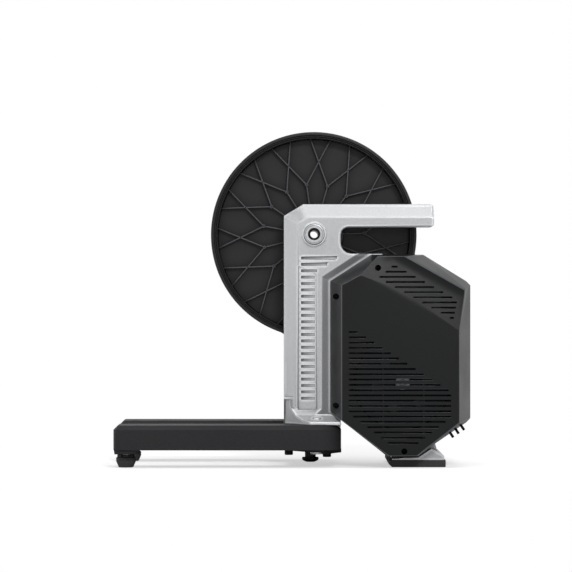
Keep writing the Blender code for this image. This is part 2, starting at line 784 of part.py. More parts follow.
def cover_shell():
    """Return the outer form of the flywheel cover as a closed solid."""
    bm = bmesh.new()
    rim = [bm.verts.new((x, COVER_RIM_Y, z)) for x, z in cover_outline()]
    face = [bm.verts.new((x, COVER_FACE_Y, z)) for x, z in face_outline(0.0)]
    tip, start, end, crest_start, crest_end = cover_corners()
    tip = bm.verts.new((tip.x, vent_face_y(*tip), tip.y))
    start_y = vent_face_y(*start)
    start = bm.verts.new((start.x, start_y, start.y))
    end = bm.verts.new((end.x, start_y, end.y))
    crest_start = bm.verts.new((crest_start.x, start_y - CREST_RISE, crest_start.y))
    crest_end = bm.verts.new((crest_end.x, start_y - CREST_RISE, crest_end.y))
    shoulder, heel, base_front, base_rear, tail, fold_rear, fold_front = face
    bm.faces.new(face)
    bm.faces.new((fold_front, fold_rear, end, start, tip))
    bm.faces.new((start, end, crest_end, crest_start))
    bm.faces.new((crest_start, crest_end, rim[8], rim[9]))
    bm.faces.new((rim[10], tip, start, crest_start, rim[9]))
    bm.faces.new((rim[10], fold_front, tip))
    bm.faces.new((rim[10], rim[0], shoulder, fold_front))
    bm.faces.new((rim[0], rim[1], heel, shoulder))
    bm.faces.new((rim[1], rim[2], heel))
    bm.faces.new((rim[2], rim[3], base_front, heel))
    bm.faces.new((rim[3], rim[4], base_rear, base_front))
    bm.faces.new((rim[4], rim[5], tail, base_rear))
    bm.faces.new((rim[5], rim[6], tail))
    bm.faces.new((rim[6], rim[7], fold_rear, tail))
    bm.faces.new((rim[7], end, fold_rear))
    bm.faces.new((rim[7], crest_end, end))
    bm.faces.new((rim[7], rim[8], crest_end))
    bm.faces.new(rim)
    bmesh.ops.triangulate(bm, faces=bm.faces)
    return mesh_object("flywheel_cover", bm)


def trim(bm, corners):
    """Take off a convex solid whatever is outside a wall's inner face, from its corners."""
    first, second, third = corners
    normal = (second - first).cross(third - first).normalized()
    middle = Vector((FLYWHEEL_X, COVER_RIM_Y, FLYWHEEL_Z))
    if (first - middle).dot(normal) < 0.0:
        normal.negate()
    geometry = list(bm.verts) + list(bm.edges) + list(bm.faces)
    result = bmesh.ops.bisect_plane(
        bm, geom=geometry, plane_co=first - normal * COVER_WALL, plane_no=normal, clear_outer=True
    )
    edges = [item for item in result["geom_cut"] if isinstance(item, bmesh.types.BMEdge)]
    if edges:
        bmesh.ops.edgeloop_fill(bm, edges=edges)


def cover_core():
    """Return the solid that hollows the cover: its inside form, open at the rim."""
    bm = bmesh.new()
    inside = offset_outline(cover_outline(), -COVER_WALL)
    for x, z in inside:
        bm.verts.new((x, COVER_RIM_Y + CORE_PAST_RIM, z))
        bm.verts.new((x, COVER_RIM_Y, z))
    for x, z in face_outline(COVER_WALL):
        bm.verts.new((x, COVER_FACE_Y + COVER_WALL, z))
    corners = cover_corners()
    depth = vent_face_y(*corners[1]) + COVER_WALL
    normal = break_line()[1]
    for corner in corners:
        pulled = corner - normal * CREST_CORE_BACK
        pulled.x = min(pulled.x, COVER_REAR_X - CREST_CORE_INSET)
        bm.verts.new((pulled.x, max(depth, vent_face_y(*pulled) + COVER_WALL), pulled.y))
    bmesh.ops.convex_hull(bm, input=bm.verts)
    rim = [Vector((x, COVER_RIM_Y, z)) for x, z in cover_outline()]
    face = [Vector((x, COVER_FACE_Y, z)) for x, z in face_outline(0.0)]
    tip = Vector((corners[0].x, vent_face_y(*corners[0]), corners[0].y))
    trim(bm, (rim[0], rim[10], face[6]))
    trim(bm, (rim[10], face[6], tip))
    for quad in ((rim[2], rim[3], face[2], face[1]), (rim[4], rim[5], face[4], face[3])):
        for skipped in quad:
            trim(bm, [corner for corner in quad if corner != skipped])
    return mesh_object("cover_core", bm)


def line_x(x0, z0, x1, z1, z):
    """Return x on the line through two points, at height z."""
    return x0 + (x1 - x0) * (z - z0) / (z1 - z0)


def upper_slots():
    """Return (front x, rear x, z) of each slot in the vented face."""
    slots = []
    for row in range(UPPER_SLOT_COUNT):
        z = UPPER_SLOT_TOP_Z - row * UPPER_SLOT_PITCH
        front = max(at_break_distance(VENT_SLOT_LOW, z=z).x, VENT_CORNER_X - row * VENT_CORNER_STAIR)
        rear = min(at_break_distance(VENT_SLOT_HIGH, z=z).x, VENT_EDGE_X - row * VENT_EDGE_STAIR)
        slots.append((front, rear, z))
    return slots


def lower_slots():
    """Return (front x, rear x, z) of each slot in the flat face."""
    slots = []
    _, heel, base_front, base_rear, tail, _, _ = face_outline(LOWER_SLOT_MARGIN)
    for row in range(LOWER_SLOT_COUNT):
        z = LOWER_SLOT_TOP_Z - row * LOWER_SLOT_PITCH
        front = max(LOWER_SLOT_FRONT_X, line_x(*heel, *base_front, z))
        rear = min(LOWER_SLOT_REAR_X, LOWER_SLOT_FIRST_END_X + row * LOWER_SLOT_STAIR)
        rear = min(rear, line_x(*base_rear, *tail, z))
        slots.append((front, rear, z))
    return slots


def make_flywheel_cover(root):
    cover = cover_shell()
    core = cover_core()
    keep = []
    for x, z in COVER_SCREWS:
        centre = Vector((x, 0.0, z))
        well = cylinder("well", WELL_RADIUS, centre, COVER_FACE_Y - PAST, COVER_RIM_Y, steps=TINY_STEPS)
        keep.append(well)
    rib_end_y = COVER_FACE_Y + COVER_WALL + COVER_RIB_DEPTH
    for x in COVER_RIB_X:
        low = (x - COVER_RIB_WIDTH / 2, COVER_FACE_Y - PAST, COVER_RIB_LOW_Z)
        high = (x + COVER_RIB_WIDTH / 2, rib_end_y, COVER_RIB_HIGH_Z)
        keep.append(box("cover_rib", low, high))
    cut(core, *keep)
    cut(cover, core)
    tools = []
    for x, z in COVER_SCREWS:
        floor = COVER_RIM_Y - WELL_FLOOR
        stages = (
            (WELL_BORE, COVER_FACE_Y - PAST, floor),
            (SCREW_RADIUS + FIT, floor, COVER_RIM_Y + PAST),
        )
        tools.append(bore("well_bore", stages, Vector((x, 0.0, z)), steps=TINY_STEPS))
    drill(cover, *tools)
    slots = []
    half = SLOT_HEIGHT / 2
    for front, rear, z in upper_slots():
        far = vent_face_y(rear, z) + UPPER_SLOT_REACH
        slots.append(box("slot", (front, COVER_FACE_Y - PAST, z - half), (rear, far, z + half)))
    far = COVER_FACE_Y + COVER_WALL + LOWER_SLOT_PAST
    for front, rear, z in lower_slots():
        slots.append(box("slot", (front, COVER_FACE_Y - PAST, z - half), (rear, far, z + half)))
    drill(cover, *slots)
    holes = [inlet_solid("inlet_hole", FIT)]
    for index in range(LIGHT_COUNT):
        holes.append(light_solid("light_hole", index, LIGHT_RADIUS + FIT))
    drill(cover, *holes)
    return settle(cover, root, BLACK_SHELL)


def inlet_solid(name, growth=0.0):
    """Return the power inlet's barrel and flange, or the hole that they need."""
    centre = Vector((INLET_X, COVER_FACE_Y + INLET_FROM_FACE, 0.0))
    surface = COVER_BASE_Z
    if growth:
        stages = [(INLET_RADIUS + growth, surface - PAST, surface + PAST)]
        return bore(name, stages, centre, "Z", TINY_STEPS)
    low = surface - INLET_FLANGE
    profile = (
        (INLET_SOCKET_RADIUS, low),
        (INLET_FLANGE_RADIUS, low),
        (INLET_FLANGE_RADIUS, surface - FIT),
        (INLET_RADIUS, surface - FIT),
        (INLET_RADIUS, surface + INLET_LENGTH),
        (0.0, surface + INLET_LENGTH),
        (0.0, surface + INLET_LENGTH - INLET_END_WALL),
        (INLET_SOCKET_RADIUS, surface + INLET_LENGTH - INLET_END_WALL),
    )
    return turned(name, profile, centre, "Z", TINY_STEPS)


def light_solid(name, index, radius):
    """Return a light pipe square to the cover's lower rear slope."""
    slope = Vector((COVER_TAIL_X - COVER_BASE_REAR_X, 0.0, COVER_TAIL_Z - COVER_BASE_Z)).normalized()
    outward = Vector((slope.z, 0.0, -slope.x))
    x = LIGHT_FIRST_X + index * LIGHT_PITCH * slope.x
    z = line_x(COVER_BASE_Z, COVER_BASE_REAR_X, COVER_TAIL_Z, COVER_TAIL_X, x)
    centre = Vector((0.0, 0.0, 0.0))
    if radius > LIGHT_RADIUS:
        pipe = bore(name, [(radius, -LIGHT_HOLE_ROOT, PAST)], centre, "Z", TINY_STEPS)
    else:
        pipe = cylinder(name, radius, centre, -LIGHT_ROOT, LIGHT_RISE, "Z", TINY_STEPS)
    turn = Vector((0.0, 0.0, 1.0)).rotation_difference(outward).to_matrix().to_4x4()
    place = Matrix.Translation((x, COVER_FACE_Y + LIGHT_FROM_FACE, z))
    pipe.data.transform(place @ turn)
    return pipe


def upright_outline(inset_x, inset_top, bite):
    """Return the upright and handle seen from the side, counter-clockwise.

    inset_x draws in the front edge, inset_top the top edge, and bite every other edge.
    """
    front = UPRIGHT_FRONT_X + inset_x
    rear = UPRIGHT_REAR_X - bite
    top = UPRIGHT_TOP_Z - inset_top
    end = HANDLE_END_X - bite
    under = HANDLE_UNDER_Z + bite
    sill = WINDOW_SILL_Z - bite
    low = WINDOW_LOW_RADIUS + bite
    high = WINDOW_HIGH_RADIUS + bite
    drawn_in = inset_x / UPRIGHT_BEVEL
    cut_x = CORNER_CUT_X * (1.0 - inset_top / UPRIGHT_TOP_Z) * CORNER_CREASE_SHARE
    cut_x += CORNER_CREASE_X * (1.0 - drawn_in)
    cut_z = CORNER_CUT_Z * (1.0 - CORNER_CREASE_DROP * drawn_in)
    points = [
        (front, DECK_UNDER_Z),
        (DECK_REAR_X, DECK_UNDER_Z),
        (DECK_REAR_X, WINDOW_SILL_Z - UPRIGHT_GUSSET_DROP),
        (UPRIGHT_SHOULDER_X, WINDOW_SILL_Z - UPRIGHT_SHOULDER_DROP),
        (UPRIGHT_SHOULDER_X, sill),
    ]
    points += arc((rear + low, sill + low), low, -math.pi / 2, -math.pi, 4)
    points += arc((rear + high, under - high), high, math.pi, math.pi / 2, 3)
    points += [
        (end - HANDLE_END_BEVEL, under),
        (end, under + HANDLE_END_BEVEL),
        (end, top - HANDLE_END_BEVEL),
        (end - HANDLE_END_BEVEL, top),
        (front + cut_x, top),
        (front, top - cut_z),
    ]
    return points


def frame_body():
    """Return the upright with its handle: flat face, wide bevel, straight sides."""
    levels = (
        (FRAME_BACK_Y, upright_outline(0.0, 0.0, 0.0)),
        (BEVEL_START_Y, upright_outline(0.0, 0.0, 0.0)),
        (FRAME_FACE_Y + EDGE_SOFTENING, upright_outline(UPRIGHT_BEVEL, UPRIGHT_BEVEL_DEPTH, 0.0)),
        (
            FRAME_FACE_Y,
            upright_outline(
                UPRIGHT_BEVEL + EDGE_SOFTENING, UPRIGHT_BEVEL_DEPTH + EDGE_SOFTENING, EDGE_SOFTENING
            ),
        ),
    )
    rings = [[Vector((x, y, z)) for x, z in outline] for y, outline in levels]
    return loft("main_frame", rings)


def base_profile():
    """Return the deck, keel and gusset as one (y, z) section."""
    edge = DECK_HALF_WIDTH
    top = DECK_UNDER_Z + DECK_EDGE
    gusset = top + GUSSET_RISE
    return [
        (-edge, DECK_UNDER_Z),
        (-KEEL_HALF_WIDTH, DECK_UNDER_Z),
        (-KEEL_HALF_WIDTH, LEG_UNDER_Z),
        (KEEL_HALF_WIDTH, LEG_UNDER_Z),
        (KEEL_HALF_WIDTH, DECK_UNDER_Z),
        (edge, DECK_UNDER_Z),
        (edge, top),
        (edge * 0.62, top + GUSSET_RISE * 0.12),
        (edge * 0.24, top + GUSSET_RISE * 0.48),
        (FRAME_BACK_Y, gusset),
        (FRAME_FACE_Y + FLARE_ROUND, gusset),
        (FRAME_FACE_Y + FLARE_ROUND, DECK_FLARE_Z + FLARE_ROUND),
        (FRAME_FACE_Y, DECK_FLARE_Z),
        (FRAME_FACE_Y - FLARE_MIDDLE, top + (DECK_FLARE_Z - top) * 0.46),
        (FRAME_FACE_Y - FLARE_TOE, top + (DECK_FLARE_Z - top) * 0.13),
        (-edge, top),
    ]


def frame_base():
    """Return the base that carries the leg pivots, its front corners cut back."""
    ring = [Vector((UPRIGHT_FRONT_X, y, z)) for y, z in base_profile()]
    base = extrude("frame_base", ring, Vector((DECK_REAR_X - UPRIGHT_FRONT_X, 0.0, 0.0)))
    corners = []
    for side in (-1.0, 1.0):
        edge = side * (DECK_HALF_WIDTH + 0.001)
        outline = [
            (UPRIGHT_FRONT_X - 0.001, edge),
            (UPRIGHT_FRONT_X + DECK_CORNER_X, edge),
            (UPRIGHT_FRONT_X - 0.001, edge - side * DECK_CORNER_Y),
        ]
        low = DECK_UNDER_Z - DECK_CORNER_LOW
        corners.append(plan_prism("deck_corner", outline, low, DECK_UNDER_Z + DECK_CORNER_HIGH))
    return cut(base, *corners)


def rear_foot_outline():
    """Return the rear cross bar seen from the side: it follows the cover's slope."""
    base = PAD_HEIGHT + FIT
    under = COVER_BASE_Z - REAR_FOOT_GAP
    slope = (COVER_TAIL_Z - COVER_BASE_Z) / (COVER_TAIL_X - COVER_BASE_REAR_X)
    peak = under + (REAR_FOOT_PEAK_X - COVER_BASE_REAR_X) * slope - 0.0005
    return [
        (REAR_FOOT_FRONT_X, base),
        (REAR_FOOT_REAR_X, base),
        (REAR_FOOT_REAR_X + 0.0004, base + REAR_FOOT_EDGE),
        (REAR_FOOT_PEAK_X, peak),
        (COVER_BASE_REAR_X + 0.0006, under),
        (REAR_FOOT_FRONT_X, under),
    ]


def guard_boss(x, z, near, far):
    """Return the boss that a guard screw or the tensioner bolt bites into."""
    return cylinder(
        "guard_boss", GUARD_POST_RADIUS + 0.002, Vector((x, 0.0, z)), near, far + PAST, steps=TINY_STEPS
    )


def pocket_cores():
    """Return the solids that hollow the casting from behind, ribs and bosses left."""
    back = FRAME_BACK_Y + PAST
    web = offset_outline(cover_outline(), -WEB_INSET - FRAME_SKIN)
    start = UPRIGHT_REAR_X + FRAME_SKIN
    web[0] = (start, web[0][1])
    web[1] = (start, web[1][1] - 0.002)
    web[2] = (start + 0.004, web[2][1])
    web_core = side_prism("web_core", web, SEAT_Y + FRAME_SKIN, back)
    floor = BEVEL_START_Y
    gusset = DECK_UNDER_Z + DECK_EDGE + GUSSET_RISE + FRAME_SKIN
    upright = [
        (UPRIGHT_FRONT_X + FRAME_SKIN, gusset),
        (UPRIGHT_REAR_X - FRAME_SKIN, gusset),
        (UPRIGHT_REAR_X - FRAME_SKIN, UPRIGHT_TOP_Z - FRAME_SKIN),
        (UPRIGHT_FRONT_X + FRAME_SKIN + CORNER_CUT_X, UPRIGHT_TOP_Z - FRAME_SKIN),
        (UPRIGHT_FRONT_X + FRAME_SKIN, UPRIGHT_TOP_Z - FRAME_SKIN - CORNER_CUT_Z),
    ]
    upright_core = side_prism("upright_core", upright, floor, back)
    handle_low = (UPRIGHT_REAR_X + FRAME_SKIN, HANDLE_UNDER_Z + FRAME_SKIN)
    handle_high = (HANDLE_END_X - FRAME_SKIN, UPRIGHT_TOP_Z - FRAME_SKIN)
    handle_core = box(
        "handle_core", (handle_low[0], floor, handle_low[1]), (handle_high[0], back, handle_high[1])
    )
    half = FRAME_RIB / 2
    near = FRAME_FACE_Y
    keep = [
        cylinder("axle_boss", BOSS_RADIUS, AXLE, near, back + PAST),
        box("upright_spine", (-half, near, DECK_UNDER_Z - PAST), (half, back + PAST, AXLE_HEIGHT)),
    ]
    for z in CROSS_RIB_Z:
        keep.append(
            box("cross_rib", (UPRIGHT_FRONT_X, near, z - half), (UPRIGHT_REAR_X, back + PAST, z + half))
        )
    for x, z in GUARD_SCREWS:
        keep.append(guard_boss(x, z, near, back))
    cut(upright_core, *keep)
    end = COVER_REAR_X + PAST
    top = COVER_TOP_Z + PAST
    web_keep = [
        cylinder("rotor_boss", BOSS_RADIUS, ROTOR, near, back + PAST),
        box("web_rib", (FLYWHEEL_X - half, near, 0.0), (FLYWHEEL_X + half, back + PAST, top)),
        box("web_rib", (0.0, near, FLYWHEEL_Z - half), (end, back + PAST, FLYWHEEL_Z + half)),
        box("web_rib", (0.0, near, WEB_RIB_Z - half), (end, back + PAST, WEB_RIB_Z + half)),
    ]
    arm_bolt = tensioner_places()[1]
    for x, z in GUARD_SCREWS + ((arm_bolt.x, arm_bolt.z),):
        web_keep.append(guard_boss(x, z, near, back))
    cut(web_core, *web_keep)
    rib_low = (HANDLE_RIB_X - half, near, HANDLE_UNDER_Z)
    rib_high = (HANDLE_RIB_X + half, back + PAST, UPRIGHT_TOP_Z)
    cut(handle_core, box("handle_rib", rib_low, rib_high))
    return [web_core, upright_core, handle_core]


def louvre_cutters():
    """Return scooped slots, deep at the front end and shallow at the rear end."""
    cutters = []
    for row in range(LOUVRE_COUNT):
        z = LOUVRE_TOP_Z - row * LOUVRE_PITCH
        rear = LOUVRE_LONG[row] if row < len(LOUVRE_LONG) else LOUVRE_REAR_X
        low = z - LOUVRE_HEIGHT / 2
        high = z + LOUVRE_HEIGHT / 2
        outline = ((LOUVRE_FRONT_X, low), (rear, low), (rear, high), (LOUVRE_FRONT_X, high))
        mouth = [Vector((x, FRAME_FACE_Y - 0.004, z_point)) for x, z_point in outline]
        floor = []
        for x, z_point in outline:
            share = (x - LOUVRE_FRONT_X) / (rear - LOUVRE_FRONT_X)
            depth = PANEL_DEPTH + LOUVRE_DEEP + (LOUVRE_SHALLOW - LOUVRE_DEEP) * share
            floor.append(Vector((x, FRAME_FACE_Y + depth, z_point)))
        cutters.append(loft("louvre", [mouth, floor]))
    return cutters


def make_main_frame(root):
    frame = frame_body()
    web = side_prism("web", offset_outline(cover_outline(), -WEB_INSET), SEAT_Y, FRAME_BACK_Y)
    rear_foot = side_prism("rear_foot", rear_foot_outline(), -REAR_FOOT_HALF_WIDTH, REAR_FOOT_HALF_WIDTH)
    shank = [
        (REAR_FOOT_FRONT_X + SHANK_INSET, PAD_HEIGHT + 0.002),
        (REAR_FOOT_REAR_X - SHANK_REAR_INSET, PAD_HEIGHT + 0.002),
        (REAR_FOOT_PEAK_X + SHANK_REAR_INSET, SHANK_SHOULDER_Z),
        (REAR_FOOT_PEAK_X, SHANK_TOP_Z),
        (REAR_FOOT_FRONT_X + SHANK_INSET, SHANK_TOP_Z),
    ]
    rear_shank = side_prism("rear_shank", shank, SEAT_Y, FRAME_BACK_Y)
    join(frame, web, frame_base(), rear_shank, rear_foot)

    seat_rings = []
    for y, growth in (
        (SEAT_Y, SEAT_MARGIN),
        (SEAT_Y - 2 * SEAT_DEPTH, SEAT_MARGIN + 2 * SEAT_SLOPE),
    ):
        outline = offset_outline(cover_outline(), growth)
        seat_rings.append([Vector((x, y, z)) for x, z in outline])
    seat = loft("cover_seat", seat_rings)
    outline = offset_outline(cover_outline(), SEAT_MARGIN - 0.001)
    clearance = side_prism("cover_clearance", outline, COVER_FACE_Y - 2 * PAST, SEAT_Y)
    for cutter in (seat, clearance):
        foot_near = -REAR_FOOT_HALF_WIDTH - PAST
        cut(cutter, side_prism("foot_room", rear_foot_outline(), foot_near, SEAT_Y + 0.001))
    cut(frame, seat, clearance)
    cut(frame, *pocket_cores())

    start = FRAME_FACE_Y - BOSS_RING_RISE
    ring = cylinder("boss_ring", BOSS_RING_RADIUS, AXLE, start, FRAME_FACE_Y + 0.002, steps=ROTOR_STEPS)
    inside = SEAT_Y + FRAME_SKIN / 2
    profile = (
        (0.0, STATOR_NEAR_Y),
        (STATOR_TUBE_RADIUS, STATOR_NEAR_Y),
        (STATOR_TUBE_RADIUS, STATOR_FAR_Y + FIT),
        (STATOR_SHOULDER_RADIUS, STATOR_FAR_Y + FIT),
        (STATOR_SHOULDER_RADIUS, inside),
        (0.0, inside),
    )
    stator_tube = turned("stator_tube", profile, ROTOR)
    posts = [board_post(x, z) for x, z in board_corners()]
    join(frame, ring, stator_tube, *posts)

    panel_outline = [
        (PANEL_FRONT_X, PANEL_SILL_Z),
        (PANEL_REAR_X, PANEL_SILL_Z),
        (PANEL_REAR_X, LOUVRE_TOP_Z - 2.5 * LOUVRE_PITCH),
        (PANEL_FRONT_X, LOUVRE_TOP_Z - 2.5 * LOUVRE_PITCH + PANEL_SLANT),
    ]
    panel = side_prism("panel", panel_outline, FRAME_FACE_Y - 0.004, FRAME_FACE_Y + PANEL_DEPTH)
    cut(frame, panel)
    drill(frame, *louvre_cutters())
    drill(frame, *frame_bores())
    return settle(frame, root, SILVER_PAINT)


def frame_bores():
    """Return every bore and screw hole in the casting."""
    far = FRAME_BACK_Y + 2 * PAST
    nut_floor = FRAME_FACE_Y + CAP_SEAT_DEPTH + LOCK_NUT_LENGTH + 2 * FIT
    axle_stages = (
        (LOCK_NUT_RADIUS + FIT, FRAME_FACE_Y - 2 * PAST, nut_floor),
        (AXLE_RADIUS + FIT, nut_floor, far),
    )
    bearing = SHAFT_BEARING_RADIUS + FIT
    shaft_stages = (
        (bearing, STATOR_NEAR_Y - 2 * PAST, STATOR_NEAR_Y + SHAFT_BEARING_WIDTH + 2 * FIT),
        (
            SHAFT_BEARING_RADIUS - 0.003,
            STATOR_NEAR_Y + SHAFT_BEARING_WIDTH + 2 * FIT,
            FRAME_BACK_Y - SHAFT_BEARING_WIDTH - 2 * FIT,
        ),
        (bearing, FRAME_BACK_Y - SHAFT_BEARING_WIDTH - 2 * FIT, far),
    )
    bores = [bore("axle_bore", axle_stages, AXLE), bore("shaft_bore", shaft_stages, ROTOR)]
    for side in (-1.0, 1.0):
        place = Vector((LEG_PIVOT_X, side * LEG_PIVOT_Y, 0.0))
        stages = [(PIVOT_PIN_RADIUS + FIT, DECK_UNDER_Z - PAST, DECK_UNDER_Z + PIVOT_PIN_BITE + FIT)]
        bores.append(bore("pin_bore", stages, place, "Z", TINY_STEPS))
        for x in PLATE_BOLT_X:
            place = Vector((x, side * PLATE_BOLT_Y, 0.0))
            top = LEG_UNDER_Z + PLATE_BOLT_BITE + FIT
            stages = [(PLATE_BOLT_RADIUS + FIT, LEG_UNDER_Z - PAST, top)]
            bores.append(bore("bolt_bore", stages, place, "Z", HIDDEN_STEPS))
    place = Vector((CENTRE_FOOT_X, 0.0, 0.0))
    top = LEG_UNDER_Z + CENTRE_FOOT_STUD_BITE + FIT
    stages = [(CENTRE_FOOT_STUD_RADIUS + FIT, LEG_UNDER_Z - PAST, top)]
    bores.append(bore("stud_bore", stages, place, "Z", HIDDEN_STEPS))
    screw = SCREW_RADIUS + FIT
    for x, z in COVER_SCREWS:
        stages = [(screw, SEAT_Y - 2 * PAST, SEAT_Y + SCREW_BITE)]
        bores.append(bore("screw_hole", stages, Vector((x, 0.0, z)), steps=HIDDEN_STEPS))
    start = FRAME_BACK_Y - SCREW_BITE
    for x, z in GUARD_SCREWS:
        bores.append(bore("screw_hole", [(screw, start, far)], Vector((x, 0.0, z)), steps=HIDDEN_STEPS))
    stages = [(ROLLER_PIN_RADIUS + FIT, start, far)]
    bores.append(bore("arm_hole", stages, tensioner_places()[1], steps=HIDDEN_STEPS))
    return bores


def board_corners():
    """Return the four standoff places of the control board."""
    half_x = BOARD_LENGTH / 2 - BOARD_POST_INSET
    half_z = BOARD_HEIGHT / 2 - BOARD_POST_INSET
    return [
        (BOARD_CENTRE_X + sx * half_x, BOARD_CENTRE_Z + sz * half_z)
        for sx in (-1.0, 1.0)
        for sz in (-1.0, 1.0)
    ]


def board_post(x, z):
    """Return a standoff with a peg that passes through the board."""
    shelf = SEAT_Y - BOARD_STANDOFF
    end = shelf - BOARD_THICKNESS - 0.002
    profile = (
        (0.0, SEAT_Y + 0.003),
        (0.0, end),
        (BOARD_PEG_RADIUS, end),
        (BOARD_PEG_RADIUS, shelf),
        (BOARD_POST_RADIUS, shelf),
        (BOARD_POST_RADIUS, SEAT_Y + 0.003),
    )
    return turned("board_post", profile, Vector((x, 0.0, z)), "Y", HIDDEN_STEPS)


def board_block(name, x, z, length, height, rise, near):
    """Return a square component standing on the board, placed from the board's centre."""
    x += BOARD_CENTRE_X
    z += BOARD_CENTRE_Z
    low = (x - length / 2, near - rise, z - height / 2)
    return box(name, low, (x + length / 2, near + SUNK, z + height / 2))


def make_control_board(root):
    far = SEAT_Y - BOARD_STANDOFF - FIT
    near = far - BOARD_THICKNESS
    low = (BOARD_CENTRE_X - BOARD_LENGTH / 2, near, BOARD_CENTRE_Z - BOARD_HEIGHT / 2)
    high = (BOARD_CENTRE_X + BOARD_LENGTH / 2, far, BOARD_CENTRE_Z + BOARD_HEIGHT / 2)
    board = box("control_board", low, high)
    can = (RADIO_CAN_X, RADIO_CAN_Z, RADIO_CAN_SIDE, RADIO_CAN_SIDE, RADIO_CAN_RISE)
    driver = (DRIVER_X, DRIVER_Z, DRIVER_LENGTH, DRIVER_HEIGHT, DRIVER_RISE)
    parts = [
        board_block("chip", CHIP_X, CHIP_Z, CHIP_SIDE, CHIP_SIDE, CHIP_RISE, near),
        board_block("radio_can", *can, near),
        board_block("driver", *driver, near),
    ]
    for step in range(CAPACITOR_COUNT):
        x = BOARD_CENTRE_X + CAPACITOR_X + step * CAPACITOR_PITCH
        centre = Vector((x, 0.0, BOARD_CENTRE_Z + CAPACITOR_Z))
        end = near - CAPACITOR_RISE
        parts.append(cylinder("capacitor", CAPACITOR_RADIUS, centre, end, near + SUNK, steps=HIDDEN_STEPS))
    join(board, *parts)
    stages = [(BOARD_PEG_RADIUS + FIT, near - PAST, far + PAST)]
    corners = [Vector((x, 0.0, z)) for x, z in board_corners()]
    drill(board, *[bore("peg_hole", stages, corner, steps=HIDDEN_STEPS) for corner in corners])
    return settle(board, root, CIRCUIT_GREEN)


def socket_screw(
    name, centre, head_end, head_start, tip, radius, head_radius, axis="Y", steps=HIDDEN_STEPS
):
    """Return a socket head screw; its head runs from head_end (outside) to head_start."""
    inward = 1.0 if head_start > head_end else -1.0
    floor = head_end + inward * SOCKET_DEPTH
    profile = (
        (0.0, floor),
        (SOCKET_RADIUS, floor),
        (SOCKET_RADIUS, head_end),
        (head_radius, head_end),
        (head_radius, head_start),
        (radius, head_start),
        (radius, tip),
        (0.0, tip),
    )
    return turned(name, profile, centre, axis, steps)


def make_cover_screws(root):
    floor = COVER_RIM_Y - WELL_FLOOR
    for index, (x, z) in enumerate(COVER_SCREWS):
        seat = floor - FIT
        screw = socket_screw(
            f"cover_screw_{index + 1}", Vector((x, 0.0, z)), seat - SCREW_HEAD, seat,
            SEAT_Y + SCREW_BITE - 0.001, SCREW_RADIUS, SCREW_HEAD_RADIUS, steps=TINY_STEPS,
        )
        settle(screw, root, BLACK_STEEL)


def guard_outline():
    """Return the drive side guard before the wheel's circle is taken out of it."""
    low = offset_outline(cover_outline(), -GUARD_INSET)
    chin_x = DECK_REAR_X + GUARD_CHIN_X
    start = [(GUARD_FRONT_X, GUARD_LOW_Z), (chin_x, GUARD_LOW_Z), (chin_x, low[2][1] + GUARD_CHIN_Z)]
    return start + low[3:10] + [(GUARD_FRONT_X, low[9][1])]


def make_drive_side_guard(root):
    """Make the guard as a tray with a round mouth that the wheel and the belt run in."""
    outline = guard_outline()
    guard = side_prism("drive_side_guard", outline, FRAME_BACK_Y + FIT, GUARD_OUTER_Y)
    inner = offset_outline(outline, -GUARD_WALL)
    core = side_prism("guard_core", inner, FRAME_BACK_Y - PAST, GUARD_INNER_Y)
    places = [Vector((x, 0.0, z)) for x, z in GUARD_SCREWS]
    end = GUARD_INNER_Y + PAST
    posts = [
        cylinder("post", GUARD_POST_RADIUS, place, FRAME_BACK_Y - 2 * PAST, end, steps=TINY_STEPS)
        for place in places
    ]
    cut(core, *posts)
    cut(guard, core)
    mouth = (
        (GUARD_CLEAR_RADIUS + GUARD_WALL + RUN_GAP, FRAME_BACK_Y - PAST, GUARD_INNER_Y),
        (GUARD_CLEAR_RADIUS, GUARD_INNER_Y, GUARD_OUTER_Y + PAST),
    )
    stages = [(SCREW_RADIUS + FIT, FRAME_BACK_Y - PAST, GUARD_OUTER_Y + PAST)]
    holes = [bore("hole", stages, place, steps=HIDDEN_STEPS) for place in places]
    drill(guard, bore("wheel_mouth", mouth, AXLE, steps=WHEEL_STEPS), *holes)
    return settle(guard, root, BLACK_SHELL)


def make_guard_screws(root):
    for index, (x, z) in enumerate(GUARD_SCREWS):
        seat = GUARD_OUTER_Y + FIT
        screw = socket_screw(
            f"guard_screw_{index + 1}", Vector((x, 0.0, z)), seat + SCREW_HEAD, seat,
            FRAME_BACK_Y - SCREW_BITE + 0.001, SCREW_RADIUS, SCREW_HEAD_RADIUS,
        )
        settle(screw, root, BLACK_STEEL)


